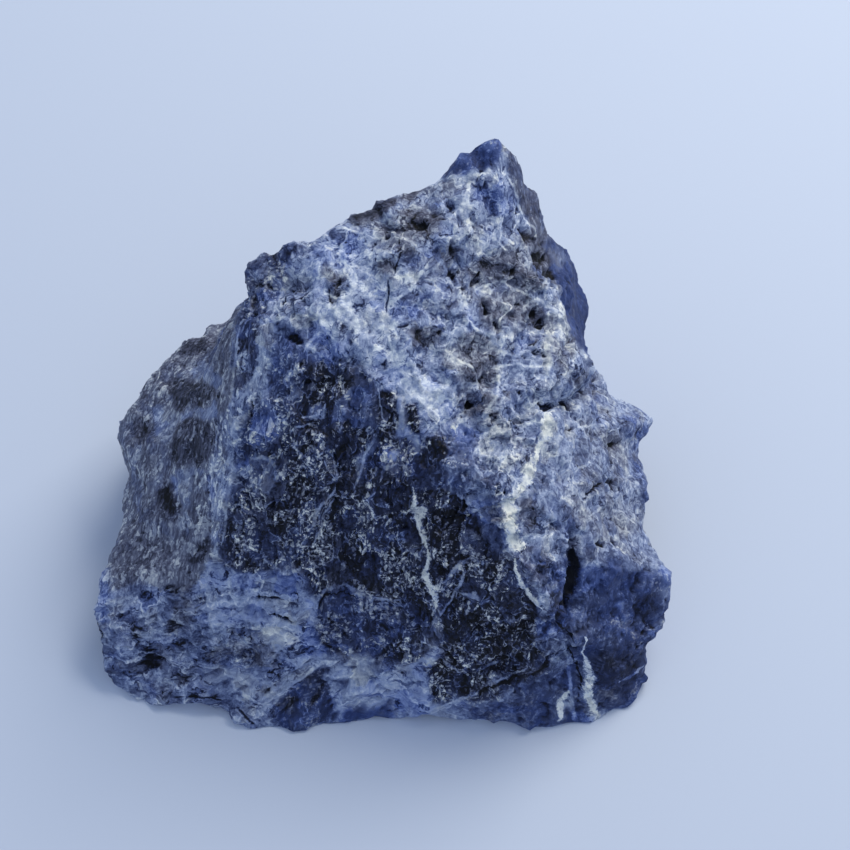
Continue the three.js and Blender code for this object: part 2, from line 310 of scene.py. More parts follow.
# %% [markdown]
# ## Where each kind of surface lies
#
# The stone broke differently in different places. The top is a crust of rounded pale grains. The
# steep front is a dark cleavage face, torn along its grain. The left wall is fibrous, the foot is
# stepped like a stack of thin plates, and the right block is smooth and royal blue. Each place gets
# an outline in pixels, drawn on the picture that the camera sees, and a set of finishes: how light
# it is, how much its pattern shows, how royal blue and how weathered it is, and how much of each of
# the four kinds of break it has. A face could be painted by hand instead, but an outline with a
# name can be found and moved again. Later outlines lie over earlier ones. The crust comes first
# and covers everything, with patches of darker rubble in it.

# %% The crust
FINISHES = ("tone", "spread", "royal", "weather", "granular", "cleaved", "fibrous", "stepped")
DARK_RUBBLE = dict(edge=4, waver=9, tone=0.45, spread=1.25, weather=0.7, granular=0.8)

REGIONS = {
    "crust": dict(
        outline=[(60, 60), (790, 60), (790, 790), (60, 790)], edge=30,
        tone=0.625, spread=1.0, royal=0.18, weather=0.28, granular=1.0),
    "pale band of the crust": dict(
        outline=[(300, 256), (340, 238), (372, 232), (396, 262), (400, 300), (412, 340), (440, 376),
                 (470, 402), (452, 424), (424, 420), (404, 398), (380, 372), (352, 346), (318, 336),
                 (304, 300)], edge=10, waver=20, tone=0.77, spread=1.05, royal=0.25, weather=0.15,
        granular=1.0),
    "rubble under the peak": dict(
        DARK_RUBBLE, outline=[(474, 262), (486, 256), (500, 259), (517, 261), (519, 275), (508, 282),
                              (490, 278), (481, 285), (472, 292), (472, 276)]),
    "rubble by the shoulder": dict(
        DARK_RUBBLE, outline=[(520, 270), (536, 272), (550, 280), (548, 289), (532, 288), (520, 282)],
        tone=0.50),
    "rubble round the black pits": dict(
        DARK_RUBBLE, outline=[(478, 300), (490, 298), (498, 314), (502, 330), (492, 330), (480, 320)]),
    "rubble right of the pits": dict(
        DARK_RUBBLE, outline=[(526, 312), (538, 310), (550, 318), (546, 330), (534, 328)]),
    "rubble at the middle": dict(
        DARK_RUBBLE, outline=[(410, 331), (424, 326), (443, 329), (441, 342), (428, 350), (413, 346)],
        tone=0.50),
    "rubble above the face": dict(
        DARK_RUBBLE, outline=[(463, 334), (477, 330), (492, 341), (498, 354), (492, 366), (500, 380),
                              (486, 386), (470, 378), (461, 360)], tone=0.52),
    "rubble round the pit": dict(
        DARK_RUBBLE, outline=[(461, 388), (480, 388), (499, 400), (492, 414), (472, 414), (458, 402)]),
    "rubble under the rim": dict(
        DARK_RUBBLE, outline=[(402, 215), (416, 209), (429, 215), (433, 230), (425, 239), (409, 235)]),
    "hollow on the crust": dict(
        DARK_RUBBLE, outline=[(371, 262), (384, 257), (397, 262), (395, 271), (380, 272)], tone=0.38),
    "rubble on the left": dict(
        DARK_RUBBLE, outline=[(325, 267), (334, 271), (349, 275), (348, 291), (337, 293), (332, 304),
                              (325, 297)]),
    "dark rim": dict(
        DARK_RUBBLE, outline=[(350, 218), (376, 200), (420, 188), (418, 197), (389, 212), (372, 223),
                              (356, 224)], tone=0.40, spread=0.9),
}
print(len(REGIONS), "regions so far")

# %% [markdown]
# ## The wall and the ridge
#
# The left wall is a weathered break across fibres, greyish violet with paler and darker patches. It
# meets the front in a ridge, where the fibres stand out as long pale lines. The corner above it is
# chipped.

# %% The left wall and its ridge
DARK_WALL = dict(edge=2, waver=5, tone=0.34, spread=1.0, weather=1.0, fibrous=1.0)
PALE_WALL = dict(edge=3, waver=7, tone=0.68, spread=0.9, royal=0.1, weather=0.4, fibrous=0.8)

REGIONS |= {
    "left wall": dict(
        outline=[(244, 250), (243, 310), (238, 360), (232, 430), (226, 490), (214, 560), (196, 580),
                 (150, 598), (112, 600), (60, 590), (60, 400), (120, 300)], edge=10,
        tone=0.55, spread=1.0, royal=0.0, weather=0.85, fibrous=1.0),
    "high pale patch of the wall": dict(
        PALE_WALL, outline=[(206, 358), (213, 372), (222, 379), (225, 392), (219, 395), (211, 388),
                            (204, 381), (196, 383), (189, 373), (198, 367)]),
    "middle pale patch of the wall": dict(
        PALE_WALL, outline=[(155, 404), (165, 401), (174, 409), (183, 416), (196, 408), (216, 408),
                            (222, 424), (206, 421), (191, 419), (179, 425), (171, 438), (160, 444),
                            (158, 430), (154, 416)]),
    "low pale patch of the wall": dict(
        PALE_WALL, outline=[(177, 467), (196, 465), (206, 469), (197, 480), (191, 496), (191, 513),
                            (180, 512), (175, 492), (173, 476)]),
    "high dark patch of the wall": dict(
        DARK_WALL, outline=[(173, 376), (186, 383), (196, 386), (204, 382), (213, 389), (221, 397),
                            (206, 403), (203, 409), (189, 404), (181, 415), (175, 403), (170, 389)]),
    "dark oval of the wall": dict(
        DARK_WALL, outline=[(172, 437), (179, 426), (191, 420), (205, 422), (216, 431), (215, 442),
                            (210, 447), (209, 462), (199, 467), (192, 460), (178, 466), (171, 456)]),
    "low dark patch of the wall": dict(
        DARK_WALL, outline=[(165, 478), (174, 483), (173, 496), (180, 506), (176, 524), (163, 522),
                            (158, 505)]),
    "hollow of the wall": dict(
        DARK_WALL, outline=[(190, 548), (197, 543), (209, 541), (209, 552), (201, 562), (190, 562)]),
    "strip behind the ridge": dict(
        outline=[(240, 318), (259, 318), (258, 350), (254, 376), (236, 402), (232, 400), (236, 360)],
        edge=3, waver=5, tone=0.47, spread=1.4, royal=0.3, weather=0.4, fibrous=1.0),
    "left ridge": dict(
        outline=[(224, 409), (231, 396), (246, 390), (256, 374), (261, 350), (260, 322), (267, 322),
                 (268, 362), (256, 396), (240, 416), (237, 440), (231, 462), (234, 474), (230, 500),
                 (227, 530), (224, 558), (211, 560), (210, 530), (211, 500), (208, 476), (213, 450),
                 (214, 420)], edge=3, waver=5,
        tone=0.74, spread=1.55, royal=0.30, weather=0.35, fibrous=1.0),
    "chipped corner": dict(
        outline=[(240, 268), (280, 240), (302, 244), (304, 250), (286, 264), (283, 280), (270, 303),
                 (262, 318), (240, 318)], edge=4, waver=9,
        tone=0.46, spread=1.3, royal=0.4, weather=0.3, granular=0.5, cleaved=0.5),
}
print(len(REGIONS), "regions so far")

# %% [markdown]
# ## The dark face
#
# Sodalite cleaves in steep plates. Here they are navy to nearly black, with a blue facet over them,
# lighter slips between them and two ovals at the bottom that broke out like shells. Every plate that
# can be told apart has its own outline, with a narrow edge, so that it looks crisp.

# %% The dark face
BLACK_CLEAVAGE = dict(edge=2, waver=6, tone=0.21, spread=1.25, weather=0.3, cleaved=1.0)
BLUE_PLATE = dict(edge=2, waver=6, tone=0.43, spread=1.0, royal=0.25, cleaved=0.7)
GREY_PLATE = dict(edge=2, waver=6, tone=0.47, spread=1.0, royal=0.1, weather=0.35, cleaved=0.7)

REGIONS |= {
    "blue facet": dict(
        outline=[(268, 322), (288, 330), (303, 336), (304, 380), (288, 410), (266, 410)], edge=6,
        waver=10, tone=0.46, spread=1.1, royal=0.40, cleaved=0.6, fibrous=0.4),
    "sparkling blue": dict(
        outline=[(262, 405), (290, 405), (284, 440), (262, 470), (236, 480), (228, 470), (240, 420)],
        edge=10, tone=0.46, spread=1.2, royal=0.40, weather=0.1, cleaved=1.0),
    "dark face": dict(
        outline=[(300, 362), (345, 366), (372, 388), (392, 398), (403, 432), (420, 452), (430, 436),
                 (450, 446), (449, 495), (466, 508), (480, 524), (486, 548), (508, 562), (522, 584),
                 (540, 606), (544, 626), (535, 650), (545, 664), (510, 686), (470, 698), (436, 704),
                 (428, 672), (400, 660), (372, 668), (338, 660), (316, 640), (314, 604), (302, 580),
                 (286, 572), (250, 576), (226, 568), (216, 548), (226, 512), (240, 482), (262, 460),
                 (286, 428), (288, 396)], edge=9, waver=16,
        tone=0.28, spread=1.25, royal=0.1, weather=0.3, cleaved=1.0),
    "first dark column": dict(
        BLACK_CLEAVAGE, outline=[(346, 424), (366, 427), (366, 446), (358, 458), (348, 452)]),
    "second dark column": dict(
        BLACK_CLEAVAGE, outline=[(381, 390), (396, 392), (399, 416), (396, 436), (387, 428), (380, 410)]),
    "third dark column": dict(
        BLACK_CLEAVAGE, outline=[(407, 404), (418, 402), (422, 420), (418, 434), (409, 426)]),
    "fourth dark column": dict(
        BLACK_CLEAVAGE, outline=[(304, 416), (322, 416), (320, 440), (312, 456), (300, 444)], tone=0.22),
    "fifth dark column": dict(
        BLACK_CLEAVAGE, outline=[(334, 376), (350, 376), (350, 388), (334, 392), (328, 384)]),
    "zebra plate": dict(
        BLACK_CLEAVAGE, outline=[(430, 437), (448, 438), (448, 464), (431, 464)], tone=0.30, spread=1.6),
    "navy plate": dict(
        BLUE_PLATE, outline=[(408, 464), (447, 462), (447, 490), (430, 494), (410, 488)], tone=0.27),
    "plate under the left ridge": dict(
        GREY_PLATE, outline=[(248, 462), (262, 458), (272, 463), (278, 474), (271, 492), (256, 498),
                             (246, 490)]),
    "blue column": dict(
        BLUE_PLATE, outline=[(350, 390), (362, 386), (374, 390), (376, 426), (363, 426), (352, 424)]),
    "bright blue plate": dict(
        BLUE_PLATE, outline=[(336, 400), (350, 392), (352, 416), (346, 422), (334, 420)], tone=0.52),
    "high blue plate": dict(
        BLUE_PLATE, outline=[(355, 368), (372, 372), (374, 388), (358, 384)], tone=0.40),
    "lilac slip": dict(
        BLUE_PLATE, outline=[(309, 404), (319, 400), (324, 409), (322, 417), (303, 419)], tone=0.58,
        royal=0.25),
    "slanted slip": dict(
        GREY_PLATE, outline=[(374, 436), (379, 444), (372, 452), (367, 463), (360, 484), (355, 480),
                             (359, 458), (364, 446)]),
    "pale wedge": dict(
        BLUE_PLATE, outline=[(399, 396), (403, 400), (405, 416), (410, 430), (414, 439), (404, 440),
                             (397, 437), (399, 418)], tone=0.66, spread=0.7, cleaved=0.2),
    "pale chip": dict(
        BLUE_PLATE, outline=[(389, 454), (394, 451), (399, 453), (399, 461), (391, 462)], tone=0.66,
        spread=0.4),
    "teal plate": dict(
        GREY_PLATE, outline=[(382, 463), (407, 463), (406, 478), (380, 478)], tone=0.32, spread=0.8),
    "blue side of the face": dict(
        BLUE_PLATE, outline=[(448, 426), (462, 424), (474, 432), (476, 470), (470, 494), (453, 500),
                             (448, 470)], tone=0.50, edge=3, waver=8),
    "chips by the chalk": dict(
        GREY_PLATE, outline=[(476, 453), (498, 456), (512, 480), (512, 496), (496, 498), (482, 488)],
        tone=0.44, spread=1.5, granular=0.4),
    "grey slope by the chalk": dict(
        GREY_PLATE, outline=[(480, 502), (500, 496), (506, 512), (504, 540), (498, 552), (486, 546),
                             (481, 524)], tone=0.45, royal=0.3, weather=0.2, granular=0.4, cleaved=0.4),
    "dark band by the vein": dict(
        BLACK_CLEAVAGE, outline=[(428, 492), (446, 490), (464, 502), (480, 530), (478, 558),
                                 (452, 570), (437, 582), (431, 556)]),
    "scratched plate": dict(
        GREY_PLATE, outline=[(455, 532), (467, 529), (480, 541), (480, 557), (462, 557)], tone=0.42,
        spread=1.3),
    "left oval": dict(
        outline=[(316, 604), (321, 595), (331, 590), (345, 590), (357, 596), (372, 599), (396, 605),
                 (410, 603), (416, 616), (420, 626), (410, 634), (396, 638), (382, 654), (372, 660),
                 (352, 652), (334, 648), (321, 640), (318, 626)], edge=2, waver=5,
        tone=0.32, spread=1.2, royal=0.45, weather=0.1, cleaved=0.6),
    "right oval": dict(
        BLACK_CLEAVAGE, outline=[(436, 624), (450, 600), (476, 599), (486, 605), (496, 595), (526, 593),
                                 (537, 606), (537, 634), (529, 657), (496, 663), (469, 667), (454, 656),
                                 (440, 649), (446, 638)]),
    "black pocket": dict(
        BLACK_CLEAVAGE, outline=[(431, 677), (439, 664), (448, 660), (457, 669), (475, 674), (463, 685),
                                 (449, 698), (437, 692)]),
    "dark strip under the face": dict(
        outline=[(460, 695), (486, 677), (512, 668), (542, 657), (546, 668), (518, 687), (490, 698),
                 (470, 700)], edge=2, waver=4, tone=0.26, spread=0.9, weather=0.3, cleaved=1.0),
}
print(len(REGIONS), "regions so far")

# %% [markdown]
# ## The foot
#
# The foot is a stack of thin shelves. The shelves that face the light are painted pale as painted
# light, and the gaps between them are dark rubble painted darker as painted shade. To the right of the
# shelves are a dark triangle and a low blue apron.

# %% The foot
# painted light: the shelves that face the light get a pale tone
PALE_SHELF = dict(edge=3, waver=9, tone=0.76, spread=0.8, royal=0.45, weather=0.1, stepped=0.9)

REGIONS |= {
    "foot": dict(
        outline=[(60, 596), (128, 592), (196, 578), (212, 558), (228, 572), (256, 577), (289, 573),
                 (304, 584), (314, 606), (316, 642), (332, 662), (318, 670), (280, 712), (262, 760),
                 (60, 760)], edge=7, waver=16,
        tone=0.57, spread=1.4, royal=0.15, weather=0.25, granular=0.3, stepped=0.7),
    "top shelf of the foot": dict(
        PALE_SHELF, outline=[(197, 584), (208, 562), (228, 569), (240, 573), (272, 574), (304, 578),
                             (304, 592), (292, 602), (269, 596), (249, 594), (228, 590)], tone=0.70,
        spread=1.6),
    "wing of the top shelf": dict(
        PALE_SHELF, outline=[(262, 580), (279, 576), (303, 576), (301, 589), (292, 600), (280, 596),
                             (268, 589)], edge=2, waver=5, tone=0.70),
    "bright end of the top shelf": dict(
        PALE_SHELF, outline=[(199, 582), (206, 564), (216, 566), (226, 574), (232, 586), (214, 588)],
        edge=2, tone=0.74),
    "middle shelf of the foot": dict(
        PALE_SHELF, outline=[(186, 610), (206, 599), (234, 597), (263, 600), (264, 616), (256, 623),
                             (239, 624), (216, 628), (196, 620)]),
    "bright slips of the foot": dict(
        PALE_SHELF, outline=[(266, 617), (279, 613), (294, 617), (306, 633), (302, 643), (286, 650),
                             (269, 643), (263, 628)], tone=0.84, royal=0.1, weather=0.4),
    "lilac edge of the foot": dict(
        PALE_SHELF, outline=[(306, 598), (313, 593), (318, 600), (316, 628), (322, 642), (330, 652),
                             (324, 662), (312, 658), (306, 640), (310, 618)], tone=0.72, royal=0.7),
    "low shelf of the foot": dict(
        PALE_SHELF, outline=[(193, 673), (209, 666), (239, 667), (256, 678), (284, 676), (300, 664),
                             (318, 662), (284, 694), (266, 712), (256, 700), (239, 699), (219, 696),
                             (203, 689)], tone=0.70, royal=0.1, weather=0.3),
    # painted shade: the gap between the shelves is rubble painted dark
    "rubble of the foot": dict(
        outline=[(212, 643), (240, 640), (270, 645), (272, 664), (240, 664), (210, 656)], edge=4,
        waver=12, tone=0.42, spread=1.2, weather=0.4, granular=0.6, cleaved=0.4),
    "dark triangle": dict(
        outline=[(320, 669), (326, 682), (333, 697), (337, 714), (337, 740), (276, 740), (278, 704),
                 (291, 693)], edge=2, waver=3, tone=0.32, spread=0.7, royal=0.45, cleaved=0.7),
    "low blue": dict(
        outline=[(328, 676), (345, 664), (372, 672), (400, 664), (426, 674), (436, 706), (470, 701),
                 (470, 760), (340, 760), (338, 714), (332, 692)], edge=4, waver=8,
        tone=0.74, spread=1.2, royal=0.40, weather=0.1, stepped=0.7, granular=0.1),
    "bright patch of the low blue": dict(
        PALE_SHELF, outline=[(357, 692), (373, 679), (383, 674), (396, 682), (405, 689), (403, 698),
                             (386, 704), (369, 706), (357, 700)], tone=0.84, spread=0.6),
    "upper patch of the low blue": dict(
        PALE_SHELF, outline=[(350, 655), (366, 656), (375, 666), (373, 676), (360, 680), (351, 686),
                             (336, 683), (345, 672)], tone=0.76, royal=0.1, weather=0.3),
    "streak of the low blue": dict(
        PALE_SHELF, outline=[(389, 676), (396, 667), (422, 659), (432, 645), (446, 654), (435, 665),
                             (424, 668), (406, 677)], tone=0.74, royal=0.2, weather=0.3),
    "navy tip": dict(
        outline=[(344, 708), (360, 706), (386, 708), (392, 716), (360, 740), (342, 740)], edge=3,
        waver=6, tone=0.38, spread=0.6, royal=0.8, stepped=0.3),
}
print(len(REGIONS), "regions so far")

# %% [markdown]
# ## The right side and the peak
#
# Blocks of smooth royal blue lie under a rough pale bench, and the shoulder and the peak above it
# are smooth again. The few outlines here are large, because these places are plain.

# %% The right side and the peak
REGIONS |= {
    "block below": dict(
        outline=[(468, 706), (510, 692), (548, 672), (568, 660), (578, 672), (586, 700), (592, 760),
                 (470, 760)], edge=5, waver=6,
        tone=0.39, spread=0.9, royal=0.35, weather=0.1, cleaved=0.3, granular=0.3),
    "right block": dict(
        outline=[(572, 552), (596, 560), (620, 556), (655, 568), (700, 560), (700, 740), (606, 740),
                 (592, 700), (584, 668), (570, 640), (566, 600)], edge=14,
        tone=0.34, spread=0.85, royal=0.50, cleaved=0.4),
    "bench": dict(
        outline=[(548, 408), (600, 392), (650, 410), (660, 470), (665, 530), (700, 556), (655, 566),
                 (620, 554), (598, 556), (576, 548), (556, 520), (545, 470)], edge=14,
        tone=0.65, spread=1.1, royal=0.12, weather=0.30, granular=0.65, fibrous=0.35),
    "cleft beside the peak": dict(
        DARK_RUBBLE, outline=[(524, 227), (536, 231), (545, 246), (553, 261), (555, 280), (545, 276),
                              (532, 264), (528, 246)], tone=0.34, spread=1.0, weather=0.9),
    "shoulder": dict(
        outline=[(546, 232), (600, 232), (610, 352), (585, 352), (574, 341), (564, 320), (557, 300),
                 (556, 286), (552, 275), (550, 262), (544, 247)],
        edge=3, waver=6, tone=0.36, spread=0.6, royal=0.70, fibrous=0.4),
    "pale corner of the shoulder": dict(
        outline=[(545, 248), (556, 248), (568, 258), (569, 268), (558, 272), (552, 262)],
        edge=3, waver=6, tone=0.54, spread=0.5, royal=0.3, weather=0.3, fibrous=0.4),
    "peak side": dict(
        outline=[(504, 130), (530, 130), (562, 236), (544, 240), (534, 228), (526, 210), (514, 187),
                 (506, 163), (502, 146)],
        edge=3, waver=4, tone=0.46, spread=0.8, royal=0.05, weather=0.65, fibrous=0.9),
    "peak cap": dict(
        outline=[(440, 178), (466, 150), (480, 130), (503, 126), (502, 152), (497, 165), (473, 173)],
        edge=3, waver=5, tone=0.40, spread=0.8, royal=0.85, cleaved=0.5),
}
print(len(REGIONS), "regions in all")

# %% [markdown]
# ## Deal out the finishes
#
# Noise shakes each point's place on the picture before it is held against the outlines, so every
# border comes out ragged like a break. Where the skin turns away from the camera the outlines fade
# out, and noise alone deals out the same finishes. So it does where the stone hides a part of
# itself: the picture is laid out as a sieve of small squares, and a point that lies well behind the
# nearest one in its square is hidden. A ray cast for each point would find the same, but slowly.

# %% Finishes of every point
USUAL_WAVER = 24
# how far a point may turn away from the eye before the outlines fade, as the cosine of the angle
FADE_OUT = (-0.35, -0.08)
SIEVE = 4.0
BEHIND_BY = 5.0
SOFTENING_ROUNDS = 15
BEHIND = dict(tone=0.46, spread=1.4, royal=0.34, weather=0.28, granular=0.5, cleaved=0.4,
              fibrous=0.25, stepped=0.25)
CHANCE_BEHIND = 0.8


def inside_distance(places, outline):
    """How far each place lies inside a closed outline, in pixels, and below zero outside it: the
    distance to the nearest side, signed by how often a line to the right crosses the outline."""
    nearest = np.full(len(places), 1e9)
    crossings = np.zeros(len(places), int)
    for start, end in zip(outline, outline[1:] + outline[:1]):
        start, run = np.array(start, float), np.subtract(end, start)
        gap = places - start
        share = np.clip(gap @ run / (run @ run), 0, 1)
        nearest = np.minimum(nearest, np.linalg.norm(gap - share[:, None] * run, axis=1))
        if run[1] == 0:
            continue
        passes = (gap[:, 1] >= 0) != (gap[:, 1] - run[1] >= 0)
        crossings += passes & (gap[:, 0] < gap[:, 1] * run[0] / run[1])
    return np.where(crossings % 2 == 1, nearest, -nearest)


toward_eye = EYE - skin
toward_eye /= np.linalg.norm(toward_eye, axis=1)[:, None]
in_view = ease(*FADE_OUT, (facing * toward_eye).sum(axis=1))
places = seen_at(skin)

eye_depth = (skin - EYE) @ looking
hole = (places / SIEVE).astype(int) @ (1, PICTURE)
nearest_depth = np.full(hole.max() + 1, np.inf)
np.minimum.at(nearest_depth, hole, eye_depth)
far_behind = (eye_depth - nearest_depth[hole] > BEHIND_BY).astype(float)
in_view *= 1 - smoothed(far_behind, SOFTENING_ROUNDS, back=0.0)
print("share of the points that the camera sees:", in_view.mean().round(2))

wavering = np.stack([layered(skin, 4.0, 40 + 10 * k, layers=5, fade=0.7) for k in range(2)], axis=-1)

finish = {name: np.zeros(len(skin)) for name in FINISHES}
for region in REGIONS.values():
    shaken = places + region.get("waver", USUAL_WAVER) * wavering
    depth_inside = inside_distance(shaken, region["outline"])
    cover = ease(-region["edge"], region["edge"], depth_inside)
    for name in FINISHES:
        finish[name] += cover * (region.get(name, 0.0) - finish[name])

for k, name in enumerate(FINISHES):
    chance = CHANCE_BEHIND * layered(skin, 14.0, 60 + 5 * k, layers=3)
    behind = np.clip(BEHIND[name] + chance, 0.05, None if name == "spread" else 1)
    finish[name] = in_view * finish[name] + (1 - in_view) * behind
for name in FINISHES:
    print(f"{name}: mean {finish[name].mean():.2f}")

# %% [markdown]
# ## Dabs
#
# Inside each region the colour still wanders in patches that can be told apart. Each of these is one
# dab of a soft brush: where its middle is on the picture, half its length and half its width in
# pixels, how far it is turned, and how much lighter or darker it makes the stone. A dab may also
# push the surface in, and then it is a pit.

# %% Pits and patches
# middle, half length, half width and turn, then the depth as a share of the deepest
PITS = [
    (285, 301, 7, 5, 10, 0.7), (303, 301, 7, 5, 30, 0.5), (277, 322, 4, 3, 0, 0.5),
    (295, 339, 10, 5, 20, 0.8), (307, 324, 9, 3, 70, 0.6), (329, 294, 9, 3, 80, 0.5),
    (338, 284, 7, 4, 90, 0.5), (308, 278, 5, 4, 0, 0.4), (371, 246, 8, 3, 120, 0.5),
    (387, 236, 5, 5, 0, 0.6), (416, 228, 14, 7, 10, 0.6), (389, 264, 10, 6, 10, 0.6),
    (449, 203, 10, 3, 80, 0.5), (452, 253, 9, 5, 60, 0.6), (452, 274, 9, 6, 100, 0.7),
    (463, 289, 7, 4, 60, 0.6), (402, 325, 9, 2, 10, 0.5), (421, 337, 11, 7, 30, 0.6),
    (440, 330, 7, 3, 150, 0.6), (384, 364, 6, 2, 110, 0.7), (421, 366, 9, 4, 40, 0.5),
    (530, 236, 13, 6, 60, 0.8), (540, 256, 14, 7, 65, 0.8), (550, 272, 9, 6, 60, 0.8),
    (566, 280, 6, 4, 80, 0.4), (488, 264, 12, 6, 10, 0.7), (478, 280, 15, 4, 115, 1.0),
    (511, 271, 9, 6, 20, 0.7), (488, 309, 12, 5, 78, 1.0), (495, 325, 13, 3, 60, 0.9),
    (518, 307, 5, 4, 0, 0.6), (533, 315, 6, 5, 60, 0.8), (540, 325, 10, 4, 130, 0.7),
    (536, 342, 9, 2, 150, 0.8), (524, 359, 5, 4, 0, 0.5), (498, 339, 7, 3, 80, 0.5),
    (538, 354, 8, 2, 10, 0.8), (571, 341, 5, 4, 50, 0.5), (468, 403, 8, 5, 10, 0.9),
    (486, 382, 14, 9, 40, 0.6), (544, 407, 9, 4, 20, 0.9), (566, 404, 7, 5, 70, 0.9),
    (554, 385, 14, 2, 110, 0.6), (612, 447, 11, 2, 165, 0.8), (574, 428, 11, 3, 150, 0.7),
    (609, 414, 9, 3, 60, 0.5), (614, 485, 10, 5, 80, 0.9), (521, 418, 12, 4, 5, 0.7),
    (493, 418, 8, 5, 30, 0.7), (601, 544, 7, 4, 0, 0.8), (654, 546, 6, 4, 0, 0.6),
    (553, 526, 11, 7, 60, 0.5), (149, 660, 14, 11, 0, 0.9), (148, 673, 11, 7, 20, 0.8),
    (183, 679, 9, 6, 20, 0.6), (170, 593, 15, 6, 10, 0.6), (170, 629, 9, 9, 0, 0.6),
    (264, 598, 13, 2, 8, 0.8), (282, 619, 12, 2, 30, 0.8), (234, 591, 7, 2, 10, 0.6),
    (249, 654, 18, 8, 10, 0.35), (266, 692, 5, 5, 0, 0.7), (269, 681, 3, 6, 0, 0.6),
    (136, 638, 7, 10, 0, 0.5), (294, 606, 8, 4, 20, 0.5), (167, 490, 9, 4, 70, 0.3),
    (256, 303, 12, 7, 90, 0.6), (262, 285, 13, 3, 10, 0.5), (197, 549, 11, 6, 150, 0.5),
    (252, 410, 14, 3, 100, 0.7), (464, 508, 5, 3, 80, 0.6),
]

